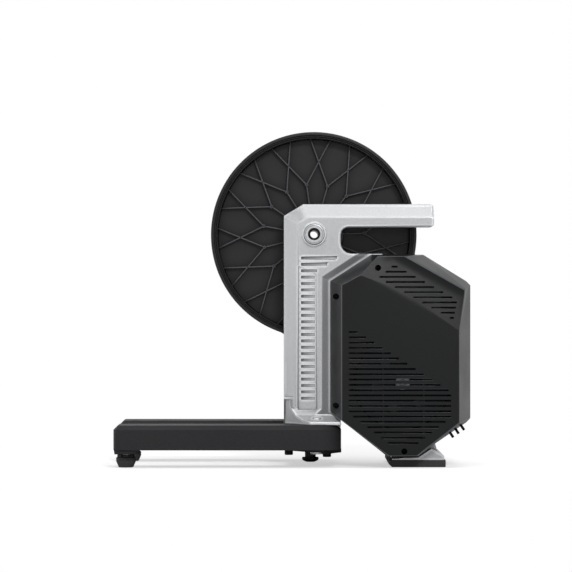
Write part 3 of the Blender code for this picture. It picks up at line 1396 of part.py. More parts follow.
def make_axle(root):
    """Make the hollow axle, its lock nut and the two end caps for the bike's dropouts."""
    half = DROPOUT_WIDTH / 2
    far = half - RIGHT_CAP_LENGTH - FIT
    near = FRAME_FACE_Y + CAP_SEAT_DEPTH + FIT
    flange_end = wheel_bearing_stations()[0] - FIT
    profile = (
        (AXLE_BORE_RADIUS, near),
        (AXLE_RADIUS, near),
        (AXLE_RADIUS, FRAME_BACK_Y + FIT),
        (AXLE_FLANGE_RADIUS, FRAME_BACK_Y + FIT),
        (AXLE_FLANGE_RADIUS, flange_end),
        (AXLE_RADIUS, flange_end),
        (AXLE_RADIUS, far),
        (AXLE_BORE_RADIUS, far),
    )
    settle(turned("hollow_axle", profile, AXLE), root, BEARING_STEEL)
    bored = clear(AXLE_RADIUS, SMALL_STEPS)
    end = near + LOCK_NUT_LENGTH
    nut = tube("axle_lock_nut", bored, LOCK_NUT_RADIUS, AXLE, near, end, steps=SMALL_STEPS)
    settle(nut, root, BLACK_STEEL)
    face = -half
    seat = near - FIT
    recess = face + LEFT_CAP_RECESS
    profile = (
        (CAP_BORE_RADIUS, recess),
        (LEFT_CAP_RECESS_RADIUS, recess),
        (LEFT_CAP_RECESS_RADIUS, face),
        (LEFT_CAP_RADIUS - 0.0008, face),
        (LEFT_CAP_RADIUS, face + 0.0008),
        (LEFT_CAP_RADIUS, seat),
        (CAP_BORE_RADIUS, seat),
    )
    settle(turned("axle_end_cap_left", profile, AXLE, steps=ROTOR_STEPS), root, BRIGHT_ALLOY)
    profile = (
        (CAP_BORE_RADIUS, far + FIT),
        (AXLE_RADIUS, far + FIT),
        (AXLE_RADIUS, far + 0.003),
        (RIGHT_CAP_RADIUS, far + 0.0035),
        (RIGHT_CAP_RADIUS, half),
        (CAP_BORE_RADIUS, half),
    )
    settle(turned("axle_end_cap_right", profile, AXLE), root, BRIGHT_ALLOY)


def wheel_bearing_stations():
    """Return where the two wheel bearings start along the axle."""
    near = WHEEL_NEAR_Y + RUN_GAP + 0.0005
    far = hub_far_y() - 0.0015 - BEARING_WIDTH
    return near, far


def hub_far_y():
    return WEB_FAR_Y + HUB_FLANGE + 0.002


def make_bearings(wheel, root):
    for name, start in zip(("wheel_bearing_left", "wheel_bearing_right"), wheel_bearing_stations()):
        bearing = bearing_ring(name, AXLE_RADIUS, BEARING_RADIUS, AXLE, start, BEARING_WIDTH)
        settle(bearing, wheel, BEARING_STEEL)
    near = STATOR_NEAR_Y + FIT
    far = FRAME_BACK_Y - SHAFT_BEARING_WIDTH - FIT
    for name, start in (("flywheel_bearing_left", near), ("flywheel_bearing_right", far)):
        bearing = bearing_ring(
            name, SHAFT_RADIUS, SHAFT_BEARING_RADIUS, ROTOR, start, SHAFT_BEARING_WIDTH
        )
        settle(bearing, root, BEARING_STEEL)


def bearing_ring(name, shaft, outer, centre, start, width):
    """Return a sealed bearing as one ring that clears its shaft."""
    return tube(name, clear(shaft, SMALL_STEPS), outer, centre, start, start + width, steps=SMALL_STEPS)


def rib_cells():
    """Return the pockets between the wheel's ribs, as (x, z) outlines about the axle."""
    pitch = math.tau / RIB_SECTORS
    outer = WHEEL_DISH_RADIUS - 0.0005
    inner = RIB_RING_RADIUS - RIB_THICKNESS / 2

    def polar(radius, angle):
        return Vector((radius * math.cos(angle), radius * math.sin(angle)))

    def rib_point(angle, fan, share):
        """A point on the slanted rib from a node, by its share of the way to the rim."""
        node = polar(RIB_NODE_RADIUS, angle)
        rim = polar(outer, angle + fan)
        return node + (rim - node) * share

    node = polar(RIB_NODE_RADIUS, 0.0)
    rim = polar(outer, RIB_FAN)
    slope = math.tan(pitch / 2)
    share = (slope * node.x - node.y) / ((rim.y - node.y) - slope * (rim.x - node.x))
    cells = []
    for sector in range(RIB_SECTORS):
        here = RIB_START_ANGLE + sector * pitch
        ahead = here + pitch
        cross = rib_point(here, RIB_FAN, share)
        cross_before = rib_point(here, -RIB_FAN, share)
        kite = [polar(inner, here), polar(inner, ahead)]
        kite += [polar(RIB_NODE_RADIUS, ahead), cross, polar(RIB_NODE_RADIUS, here)]
        fan = pitch - RIB_FAN
        petal = [polar(RIB_NODE_RADIUS, here), cross_before]
        petal += [polar(outer, here - fan), polar(outer, here + fan), cross]
        wedge = [cross, polar(outer, here + fan), polar(outer, here + RIB_FAN)]
        cells += [kite, petal, wedge]
    return [offset_outline(upward(cell), -RIB_THICKNESS / 2) for cell in cells]


def upward(points):
    """Return an outline in counter-clockwise order."""
    area = 0.0
    for here, after in zip(points, points[1:] + points[:1]):
        area += here[0] * after[1] - after[0] * here[1]
    return [tuple(point) for point in (points if area > 0.0 else reversed(points))]


def pocket_cutter(cells, near_y, far_y):
    """Return all pockets of the wheel's web as one cutter of separate prisms."""
    bm = bmesh.new()
    for cell in cells:
        face = bm.faces.new([bm.verts.new((x, near_y, AXLE_HEIGHT + z)) for x, z in cell])
        made = bmesh.ops.extrude_face_region(bm, geom=[face])["geom"]
        moved = [item for item in made if isinstance(item, bmesh.types.BMVert)]
        bmesh.ops.translate(bm, verts=moved, vec=(0.0, far_y - near_y, 0.0))
    return mesh_object("rib_pockets", bm)


def make_drive_wheel(wheel):
    near = WHEEL_NEAR_Y
    far = WHEEL_FAR_Y
    lip = WHEEL_LIP_RADIUS
    profile = (
        (clear(HUB_RADIUS, WHEEL_STEPS), WEB_NEAR_Y),
        (RIB_RING_RADIUS - 0.0055, WEB_NEAR_Y),
        (RIB_RING_RADIUS - 0.0055, RIB_TOP_Y),
        (WHEEL_DISH_RADIUS, RIB_TOP_Y),
        (WHEEL_DISH_RADIUS, near + 0.0025),
        (WHEEL_BAND_RADIUS, near + 0.0012),
        (WHEEL_BAND_RADIUS, near),
        (lip, near),
        (lip, near + WHEEL_FLANGE),
        (TRACK_RADIUS, near + WHEEL_FLANGE),
        (TRACK_RADIUS, far - WHEEL_FLANGE),
        (lip, far - WHEEL_FLANGE),
        (lip, far),
        (WHEEL_DISH_RADIUS, far),
        (WHEEL_DISH_RADIUS - 0.003, WEB_FAR_Y),
        (clear(HUB_RADIUS, WHEEL_STEPS), WEB_FAR_Y),
    )
    body = turned("drive_wheel", profile, AXLE, steps=WHEEL_STEPS)
    stages = [(HUB_BOLT_RADIUS + FIT, WEB_NEAR_Y - PAST, WEB_FAR_Y + PAST)]
    holes = [bore("hole", stages, place, steps=HIDDEN_STEPS) for place in hub_bolt_places()]
    drill(body, pocket_cutter(rib_cells(), RIB_TOP_Y - 0.002, WEB_NEAR_Y), *holes)
    return settle(body, wheel, BLACK_NYLON)


def hub_bolt_places():
    """Return the bolt circle that holds the wheel to its hub."""
    angles = [HUB_BOLT_START + math.tau * i / HUB_BOLT_COUNT for i in range(HUB_BOLT_COUNT)]
    return [AXLE + HUB_BOLT_CIRCLE * Vector((math.cos(a), 0.0, math.sin(a))) for a in angles]


def make_drive_hub(wheel):
    near = WHEEL_NEAR_Y + RUN_GAP
    far = hub_far_y()
    seats = wheel_bearing_stations()
    seat = clear(BEARING_RADIUS)
    flange = WEB_FAR_Y + FIT
    profile = (
        (seat, near),
        (HUB_RADIUS, near),
        (HUB_RADIUS, flange),
        (HUB_FLANGE_RADIUS, flange),
        (HUB_FLANGE_RADIUS, flange + HUB_FLANGE),
        (HUB_RADIUS, flange + HUB_FLANGE),
        (HUB_RADIUS, far),
        (seat, far),
        (seat, seats[1] - FIT),
        (seat - 0.003, seats[1] - FIT),
        (seat - 0.003, seats[0] + BEARING_WIDTH + FIT),
        (seat, seats[0] + BEARING_WIDTH + FIT),
    )
    hub = turned("drive_hub", profile, AXLE)
    stages = [(HUB_BOLT_RADIUS + FIT, flange - PAST, flange + 2 * PAST)]
    drill(hub, *[bore("hole", stages, place, steps=HIDDEN_STEPS) for place in hub_bolt_places()])
    settle(hub, wheel, BRIGHT_ALLOY)
    for index, place in enumerate(hub_bolt_places()):
        under = flange + HUB_FLANGE + FIT
        bolt = socket_screw(
            f"hub_bolt_{index + 1}", place, under + HUB_BOLT_HEAD, under,
            WEB_NEAR_Y - 0.0005, HUB_BOLT_RADIUS, HUB_BOLT_HEAD_RADIUS,
        )
        settle(bolt, wheel, BLACK_STEEL)


def make_freehub_body(freehub):
    start = hub_far_y() + FIT
    end = DROPOUT_WIDTH / 2 - RIGHT_CAP_LENGTH - FIT
    outline = star_outline(
        FREEHUB_RADIUS, FREEHUB_RADIUS - FREEHUB_SPLINE_DEPTH, FREEHUB_SPLINE_COUNT,
        centre=(0.0, AXLE_HEIGHT), duty=0.62,
    )
    body = side_prism("freehub_body", outline, start + 0.004, end)
    collar = cylinder("collar", FREEHUB_RADIUS + 0.0012, AXLE, start, start + 0.0045)
    join(body, collar)
    stages = (
        (AXLE_RADIUS + FIT, start - PAST, end - 0.008),
        (FREEHUB_RADIUS - FREEHUB_SPLINE_DEPTH - 0.0025, end - 0.008, end + PAST),
    )
    cut(body, bore("hub_bore", stages, AXLE))
    return settle(body, freehub, BEARING_STEEL)


def make_rotor(rotor):
    """Make the flywheel, its shaft and the small pulley, which turn as one."""
    near = ROTOR_NEAR_Y
    far = ROTOR_FAR_Y
    inner = clear(SHAFT_RADIUS)
    wheel_inner = clear(SHAFT_RADIUS, ROTOR_STEPS)
    profile = (
        (wheel_inner, near),
        (FLYWHEEL_RADIUS - 0.002, near),
        (FLYWHEEL_RADIUS, near + 0.002),
        (FLYWHEEL_RADIUS, far),
        (FLYWHEEL_RADIUS - FLYWHEEL_RIM, far),
        (FLYWHEEL_RADIUS - FLYWHEEL_RIM, near + FLYWHEEL_WEB),
        (FLYWHEEL_HUB_RADIUS, near + FLYWHEEL_WEB),
        (FLYWHEEL_HUB_RADIUS, near + FLYWHEEL_HUB_LENGTH),
        (wheel_inner, near + FLYWHEEL_HUB_LENGTH),
    )
    wheel = turned("flywheel", profile, ROTOR, steps=ROTOR_STEPS)
    holes = []
    stages = [(FLYWHEEL_HOLE_RADIUS, near - PAST, near + FLYWHEEL_WEB + PAST)]
    for i in range(FLYWHEEL_HOLE_COUNT):
        angle = FLYWHEEL_HOLE_START + math.tau * i / FLYWHEEL_HOLE_COUNT
        place = ROTOR + FLYWHEEL_HOLE_CIRCLE * Vector((math.cos(angle), 0.0, math.sin(angle)))
        holes.append(bore("hole", stages, place, steps=TINY_STEPS))
    drill(wheel, *holes)
    settle(wheel, rotor, CAST_IRON)
    pulley_near = BELT_NEAR_Y - FIT - PULLEY_FLANGE
    pulley_far = BELT_FAR_Y + FIT + PULLEY_FLANGE
    profile = (
        (0.0, near - FIT - SHAFT_NUT_LENGTH),
        (SHAFT_NUT_RADIUS, near - FIT - SHAFT_NUT_LENGTH),
        (SHAFT_NUT_RADIUS, near - FIT),
        (SHAFT_RADIUS, near - FIT),
        (SHAFT_RADIUS, FRAME_BACK_Y + FIT),
        (SHAFT_SHOULDER_RADIUS, FRAME_BACK_Y + FIT),
        (SHAFT_SHOULDER_RADIUS, pulley_near - FIT),
        (SHAFT_RADIUS, pulley_near - FIT),
        (SHAFT_RADIUS, pulley_far + 0.001),
        (0.0, pulley_far + 0.001),
    )
    settle(turned("flywheel_shaft", profile, ROTOR, steps=SMALL_STEPS), rotor, BEARING_STEEL)
    track = PULLEY_TRACK_RADIUS
    flange = track + PULLEY_FLANGE_HEIGHT
    profile = (
        (inner, pulley_near),
        (flange, pulley_near),
        (flange, BELT_NEAR_Y - FIT),
        (track, BELT_NEAR_Y - FIT),
        (track, BELT_FAR_Y + FIT),
        (flange, BELT_FAR_Y + FIT),
        (flange, pulley_far),
        (inner, pulley_far),
    )
    settle(turned("small_pulley", profile, ROTOR), rotor, BRIGHT_ALLOY)


def belt_geometry():
    """Return the direction from wheel to pulley and the half wrap angle on the wheel."""
    line = Vector((ROTOR.x - AXLE.x, ROTOR.z - AXLE.z))
    lean = math.acos((TRACK_RADIUS - PULLEY_TRACK_RADIUS) / line.length)
    return math.atan2(line.y, line.x), lean


def belt_outline(growth):
    """Return the open belt drive seen from the side, a set distance off its tracks."""
    heading, lean = belt_geometry()
    far_side = heading + math.tau - lean
    wheel = (AXLE.x, AXLE.z)
    pulley = (ROTOR.x, ROTOR.z)
    points = wrap(wheel, TRACK_RADIUS + growth, heading + lean, far_side, BELT_WHEEL_STEPS)
    far_side = heading + lean
    points += wrap(pulley, PULLEY_TRACK_RADIUS + growth, heading - lean, far_side, BELT_PULLEY_STEPS)
    return points


def make_belt(root):
    belt = side_prism("belt", belt_outline(FIT + BELT_THICKNESS), BELT_NEAR_Y, BELT_FAR_Y)
    core = side_prism("belt_core", belt_outline(FIT), BELT_NEAR_Y - PAST, BELT_FAR_Y + PAST)
    cut(belt, core)
    return settle(belt, root, BLACK_RUBBER)


def tensioner_places():
    """Return the centres of the tensioner's roller and of its arm bolt."""
    heading, lean = belt_geometry()
    side = heading + lean
    outward = Vector((math.cos(side), 0.0, math.sin(side)))
    along = Vector((outward.z, 0.0, -outward.x))
    off_belt = TRACK_RADIUS + FIT + BELT_THICKNESS + FIT + ROLLER_RADIUS
    roller = AXLE + outward * off_belt + along * ROLLER_ALONG_BELT
    reach = Vector((0.45, 0.0, -0.893)).normalized() * ARM_LENGTH
    return roller, roller + reach


def make_tensioner(root, roller_pivot):
    """Make the belt tensioner: arm with its pin, roller and clamping bolt."""
    roller, bolt = tensioner_places()
    near = FRAME_BACK_Y + FIT
    far = near + ARM_THICKNESS
    along = (bolt - roller).normalized()
    side = math.atan2(along.z, along.x)
    outline = arc((bolt.x, bolt.z), ARM_HALF_WIDTH, side - math.pi / 2, side + math.pi / 2, 6)
    outline += arc((roller.x, roller.z), ARM_HALF_WIDTH, side + math.pi / 2, side + 1.5 * math.pi, 6)
    arm = side_prism("tensioner_arm", outline, near, far)
    start = near + ARM_THICKNESS / 3
    pin = cylinder("pin", ROLLER_PIN_RADIUS, roller, start, BELT_FAR_Y + RUN_GAP, steps=SMALL_STEPS)
    shoulder = ROLLER_PIN_RADIUS + 0.002
    collar = cylinder("collar", shoulder, roller, start, BELT_NEAR_Y - FIT, steps=SMALL_STEPS)
    join(arm, pin, collar)
    stages = [(ROLLER_PIN_RADIUS + FIT, near - PAST, far + PAST)]
    cut(arm, bore("bolt_hole", stages, bolt, steps=HIDDEN_STEPS))
    settle(arm, root, BEARING_STEEL)
    wheel = tube(
        "tensioner_roller", clear(ROLLER_PIN_RADIUS), ROLLER_RADIUS, roller, BELT_NEAR_Y, BELT_FAR_Y
    )
    settle(wheel, roller_pivot, BLACK_NYLON)
    screw = socket_screw(
        "tensioner_bolt", bolt, far + FIT + 0.004, far + FIT, FRAME_BACK_Y - SCREW_BITE + 0.001,
        ROLLER_PIN_RADIUS, ROLLER_PIN_RADIUS + 0.003,
    )
    settle(screw, root, BLACK_STEEL)


def make_brake(root):
    """Make the eddy current brake that stands still inside the flywheel."""
    near = STATOR_NEAR_Y + FIT
    far = STATOR_FAR_Y
    inner = clear(STATOR_TUBE_RADIUS)
    profile = (
        (inner, near),
        (STATOR_RADIUS, near),
        (STATOR_RADIUS, near + STATOR_CHEEK),
        (STATOR_SHOULDER_RADIUS, near + STATOR_CHEEK),
        (STATOR_SHOULDER_RADIUS, far - STATOR_CHEEK),
        (STATOR_RADIUS, far - STATOR_CHEEK),
        (STATOR_RADIUS, far),
        (inner, far),
    )
    core = turned("brake_core", profile, ROTOR)
    notches = []
    for i in range(STATOR_NOTCH_COUNT):
        low = (COIL_RADIUS + 0.0008, near - 0.001, -STATOR_NOTCH_HALF)
        notch = box("notch", low, (STATOR_RADIUS + 0.002, far + 0.001, STATOR_NOTCH_HALF))
        angle = math.tau * (i + 0.5) / STATOR_NOTCH_COUNT
        notch.data.transform(Matrix.Translation(ROTOR) @ Matrix.Rotation(angle, 4, "Y"))
        notches.append(notch)
    drill(core, *notches)
    settle(core, root, CAST_IRON)
    coil = tube(
        "brake_coil", clear(STATOR_SHOULDER_RADIUS), COIL_RADIUS, ROTOR,
        near + STATOR_CHEEK + FIT, far - STATOR_CHEEK - FIT,
    )
    settle(coil, root, COPPER)


def leg_plan(growth):
    """Return the left leg from above: blunt tip, round end about its pivot."""
    half = LEG_WIDTH / 2
    tip = LEG_TIP_X
    corner = LEG_CORNER
    points = [
        (tip, -LEG_PIVOT_Y + half - corner),
        (tip, -LEG_PIVOT_Y - half + corner),
        (tip + corner * 0.3, -LEG_PIVOT_Y - half + corner * 0.3),
        (tip + corner, -LEG_PIVOT_Y - half),
    ]
    points += arc((LEG_PIVOT_X, -LEG_PIVOT_Y), half, -math.pi / 2, math.pi / 2, 12)
    points += [
        (tip + corner, -LEG_PIVOT_Y + half),
        (tip + corner * 0.3, -LEG_PIVOT_Y + half - corner * 0.3),
    ]
    return offset_outline(points, growth)


def make_leg(name, side, pivot):
    """Make a leg as an open channel with bosses for its pivot pin and its foot."""
    levels = (
        (LEG_UNDER_Z, 0.0),
        (LEG_TOP_Z - LEG_BEVEL, 0.0),
        (LEG_TOP_Z, -LEG_BEVEL),
    )
    rings = [[Vector((x, y, z)) for x, y in leg_plan(growth)] for z, growth in levels]
    leg = loft(name, rings)
    tip = LEG_TIP_X
    inset = LEG_WIDTH / 2 - 0.004
    ramp_start = tip + TIP_LENGTH
    ramp_end = ramp_start + TIP_RAMP
    nose = [
        (tip + 0.0006, LEG_UNDER_Z + 0.002),
        (tip + 0.0018, LEG_UNDER_Z - TIP_DROP),
        (ramp_start, LEG_UNDER_Z - TIP_DROP),
        (ramp_start + TIP_RAMP * 0.35, LEG_UNDER_Z - TIP_DROP * 0.82),
        (ramp_start + TIP_RAMP * 0.7, LEG_UNDER_Z - TIP_DROP * 0.38),
        (ramp_end, LEG_UNDER_Z + 0.002),
    ]
    shoe = side_prism("shoe", nose, -LEG_PIVOT_Y - inset, -LEG_PIVOT_Y + inset)
    join(leg, shoe)
    floor = LEG_UNDER_Z - TIP_DROP - PAST
    roof = LEG_TOP_Z - LEG_WALL
    hollow = plan_prism("hollow", leg_plan(-LEG_WALL - 0.0015), floor, roof)
    keep = [
        cylinder(
            "pivot_boss", LEG_BOSS_RADIUS, Vector((LEG_PIVOT_X, -LEG_PIVOT_Y, 0.0)),
            floor - PAST, roof + PAST, "Z", SMALL_STEPS,
        ),
        cylinder(
            "foot_boss", FOOT_CUP_RADIUS, Vector((FOOT_X, -LEG_PIVOT_Y, 0.0)),
            floor - PAST, roof + PAST, "Z", SMALL_STEPS,
        ),
    ]
    span = LEG_PIVOT_X - LEG_BOSS_RADIUS - (FOOT_X + FOOT_CUP_RADIUS)
    for i in range(LEG_RIB_COUNT):
        x = FOOT_X + FOOT_CUP_RADIUS + span * (i + 0.5) / LEG_RIB_COUNT
        low = (x - LEG_RIB / 2, -LEG_PIVOT_Y - LEG_WIDTH, LEG_UNDER_Z + 0.004)
        high = (x + LEG_RIB / 2, -LEG_PIVOT_Y + LEG_WIDTH, roof + PAST)
        keep.append(box("leg_rib", low, high))
    cut(hollow, *keep)
    cut(leg, hollow)
    pin_stages = [(PIVOT_PIN_RADIUS + FIT, floor, LEG_TOP_Z + PAST)]
    stud_stages = [(FOOT_STUD_RADIUS + FIT, floor, FOOT_STUD_SINK + FOOT_STUD_LENGTH + FIT)]
    bores = [
        bore("pin_bore", pin_stages, Vector((LEG_PIVOT_X, -LEG_PIVOT_Y, 0.0)), "Z", TINY_STEPS),
        bore("stud_bore", stud_stages, Vector((FOOT_X, -LEG_PIVOT_Y, 0.0)), "Z", TINY_STEPS),
    ]
    drill(leg, *bores)
    return settle(mirror_across(leg, side), pivot, BLACK_PAINT)


def mirror_across(obj, side):
    """Mirror a left-hand piece to the drive side when side is positive."""
    if side > 0.0:
        obj.data.transform(Matrix.Scale(-1.0, 4, Vector((0.0, 1.0, 0.0))))
        obj.data.flip_normals()
    return obj


def make_leg_foot(prefix, side, pivot):
    """Make one adjustable foot: threaded stud, notched ring and rubber cup."""
    place = Vector((FOOT_X, side * LEG_PIVOT_Y, 0.0))
    stud = cylinder(
        f"{prefix}_foot_stud", FOOT_STUD_RADIUS, place, FOOT_STUD_SINK, FOOT_STUD_SINK + FOOT_STUD_LENGTH,
        "Z", TINY_STEPS,
    )
    settle(stud, pivot, BEARING_STEEL)
    ring_low = FOOT_CUP_HEIGHT + FIT
    outline = star_outline(
        FOOT_RING_RADIUS, FOOT_RING_RADIUS - 0.0022, 8, centre=(place.x, place.y), duty=0.6
    )
    ring = plan_prism(f"{prefix}_foot_ring", outline, ring_low, ring_low + FOOT_RING_HEIGHT)
    cut(ring, bore("stud_hole", [(FOOT_STUD_RADIUS + FIT, 0.0, 0.05)], place, "Z", TINY_STEPS))
    settle(ring, pivot, BLACK_NYLON)
    socket = clear(FOOT_STUD_RADIUS, SMALL_STEPS)
    floor = FOOT_STUD_SINK - FIT
    profile = (
        (0.0, 0.0),
        (FOOT_CUP_SOLE_RADIUS, 0.0),
        (FOOT_CUP_RADIUS, FOOT_CUP_CHAMFER_Z),
        (FOOT_CUP_RADIUS, FOOT_CUP_HEIGHT - 0.0012),
        (FOOT_CUP_RADIUS - 0.0012, FOOT_CUP_HEIGHT),
        (socket, FOOT_CUP_HEIGHT),
        (socket, floor),
        (0.0, floor),
    )
    cup = turned(f"{prefix}_foot_cup", profile, place, "Z", SMALL_STEPS)
    settle(cup, pivot, BLACK_RUBBER)


def make_pivot_pin(name, side, root):
    place = Vector((LEG_PIVOT_X, side * LEG_PIVOT_Y, 0.0))
    head = PLATE_TOP_Z - PLATE_THICKNESS - FIT
    pin = socket_screw(
        name, place, head - PIVOT_PIN_HEAD, head, DECK_UNDER_Z + PIVOT_PIN_BITE,
        PIVOT_PIN_RADIUS, PIVOT_PIN_HEAD_RADIUS, "Z", TINY_STEPS,
    )
    settle(pin, root, BEARING_STEEL)


def make_hinge_plate(root):
    """Make the stepped plate that closes the leg hinges from below."""
    low = PLATE_TOP_Z - PLATE_THICKNESS
    step = low - PLATE_STEP
    front = UPRIGHT_FRONT_X + 0.001
    rear = DECK_REAR_X + 0.001
    section = [
        (front, PLATE_TOP_Z),
        (front, low),
        (PLATE_STEP_X - PLATE_STEP, low),
        (PLATE_STEP_X, step),
        (rear, step),
        (rear, PLATE_TOP_Z),
    ]
    width = LEG_PIVOT_Y + PLATE_EAR_RADIUS + PAST
    plate = side_prism("hinge_plate", section, -width, width)
    ear = PLATE_EAR_RADIUS
    neck = PLATE_NECK_HALF_WIDTH
    half = []
    half += arc((LEG_PIVOT_X, LEG_PIVOT_Y), ear, math.radians(30.0), math.radians(150.0), 5)
    plan = [(rear + 0.001, neck), *half, (front - 0.001, neck)]
    plan += [(x, -y) for x, y in reversed(plan)]
    keep_inside(plate, plan_prism("plate_plan", plan, step - PAST, PLATE_TOP_Z + PAST))
    holes = []
    end = PLATE_TOP_Z + PAST
    for side in (-1.0, 1.0):
        place = Vector((LEG_PIVOT_X, side * LEG_PIVOT_Y, 0.0))
        stages = ((PIVOT_PIN_HEAD_RADIUS + 0.001, 0.0, low), (PIVOT_PIN_RADIUS + FIT, low, end))
        holes.append(bore("pin_hole", stages, place, "Z", TINY_STEPS))
        stages = [(PLATE_BOLT_RADIUS + FIT, 0.0, end)]
        for x in PLATE_BOLT_X:
            place = Vector((x, side * PLATE_BOLT_Y, 0.0))
            holes.append(bore("bolt_hole", stages, place, "Z", HIDDEN_STEPS))
    place = Vector((CENTRE_FOOT_X, 0.0, 0.0))
    stages = [(CENTRE_FOOT_STUD_RADIUS + FIT, 0.0, end)]
    holes.append(bore("stud_hole", stages, place, "Z", HIDDEN_STEPS))
    drill(plate, *holes)
    settle(plate, root, BLACK_PAINT)
    index = 0
    for x in PLATE_BOLT_X:
        under = low if x < PLATE_STEP_X else step
        for side in (-1.0, 1.0):
            index += 1
            seat = under - FIT
            bolt = socket_screw(
                f"plate_bolt_{index}", Vector((x, side * PLATE_BOLT_Y, 0.0)), seat - PLATE_BOLT_HEAD, seat,
                LEG_UNDER_Z + PLATE_BOLT_BITE, PLATE_BOLT_RADIUS, PLATE_BOLT_HEAD_RADIUS, "Z",
            )
            settle(bolt, root, BLACK_STEEL)


def make_centre_foot(pivot):
    """Make the levelling foot under the hinge plate: ribbed knob on a stud."""
    place = Vector((CENTRE_FOOT_X, 0.0, 0.0))
    base = CENTRE_FOOT_CLEARANCE
    disc_top = base + CENTRE_FOOT_DISC
    neck_top = PLATE_TOP_Z - PLATE_THICKNESS - FIT
    profile = (
        (0.0, base),
        (CENTRE_FOOT_RADIUS * 0.55, base + 0.0006),
        (CENTRE_FOOT_RADIUS * 0.92, base + 0.0026),
        (CENTRE_FOOT_RADIUS, base + 0.0042),
        (CENTRE_FOOT_RADIUS, disc_top),
        (0.0, disc_top),
    )
    knob = turned("centre_foot_knob", profile, place, "Z", 16)
    outline = star_outline(
        CENTRE_FOOT_NECK_RADIUS, CENTRE_FOOT_NECK_RADIUS - 0.0012, 8, centre=(place.x, place.y)
    )
    join(knob, plan_prism("neck", outline, disc_top - 0.001, neck_top))
    floor = disc_top - 0.003
    stages = [(CENTRE_FOOT_STUD_RADIUS + FIT, floor, neck_top + PAST)]
    cut(knob, bore("stud_bore", stages, place, "Z", TINY_STEPS))
    settle(knob, pivot, BLACK_NYLON)
    stud = cylinder(
        "centre_foot_stud", CENTRE_FOOT_STUD_RADIUS, place, floor + FIT,
        LEG_UNDER_Z + CENTRE_FOOT_STUD_BITE, "Z", TINY_STEPS,
    )
    settle(stud, pivot, BEARING_STEEL)


def make_rear_pad(root):
    """Make the rubber pad under the rear cross bar."""
    front = REAR_FOOT_FRONT_X - PAD_FRONT_LIP
    rear = REAR_FOOT_REAR_X + PAD_OVERHANG * 0.8
    section = [
        (front, PAD_HEIGHT),
        (front, PAD_CHAMFER),
        (front + PAD_CHAMFER, 0.0),
        (rear - 0.001, 0.0),
        (rear, 0.001),
        (rear, PAD_HEIGHT),
    ]
    width = REAR_FOOT_HALF_WIDTH + PAD_OVERHANG
    settle(side_prism("rear_foot_pad", section, -width, width), root, BLACK_RUBBER)


def make_electrics(root):
    make_control_board(root)
    settle(inlet_solid("power_inlet"), root, BLACK_NYLON)
    for index in range(LIGHT_COUNT):
        settle(light_solid(f"status_light_{index + 1}", index, LIGHT_RADIUS), root, SMOKED_LENS)


def build():
    for obj in list(bpy.data.objects):
        bpy.data.objects.remove(obj)

    root = make_pivot("trainer", (0.0, 0.0, 0.0))
    root.location = ROOT_SHIFT
    wheel = make_pivot("wheel_pivot", AXLE, root)
    freehub = make_pivot("freehub_pivot", AXLE, wheel)
    rotor = make_pivot("flywheel_pivot", ROTOR, root)
    roller = make_pivot("roller_pivot", tensioner_places()[0], root)
    centre_foot = make_pivot("centre_foot_pivot", (CENTRE_FOOT_X, 0.0, 0.0), root)

    make_main_frame(root)
    make_flywheel_cover(root)
    make_cover_screws(root)
    make_drive_side_guard(root)
    make_guard_screws(root)
    make_axle(root)
    make_bearings(wheel, root)
    make_drive_wheel(wheel)
    make_drive_hub(wheel)
    make_freehub_body(freehub)
    make_rotor(rotor)
    make_belt(root)
    make_tensioner(root, roller)
    make_brake(root)
    make_hinge_plate(root)
    make_centre_foot(centre_foot)
    make_rear_pad(root)
    make_electrics(root)
    for prefix, side in (("left", -1.0), ("right", 1.0)):
        leg_pivot = make_pivot(f"{prefix}_leg_pivot", (LEG_PIVOT_X, side * LEG_PIVOT_Y, 0.0), root)
        foot_pivot = make_pivot(f"{prefix}_foot_pivot", (FOOT_X, side * LEG_PIVOT_Y, 0.0), leg_pivot)
        make_leg(f"{prefix}_leg", side, leg_pivot)
        make_leg_foot(prefix, side, foot_pivot)
        make_pivot_pin(f"{prefix}_pivot_pin", side, root)


build()
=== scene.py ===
"""Visual model of a folding direct-drive bike trainer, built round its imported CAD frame.

Axes and units are the frame's: metres, +X to the trainer's rear, +Y to the drive side,
+Z up. Each operator below makes one piece or one group of like pieces, from the sizes
and colours on the Bike Trainer panel.
"""

import json
import math

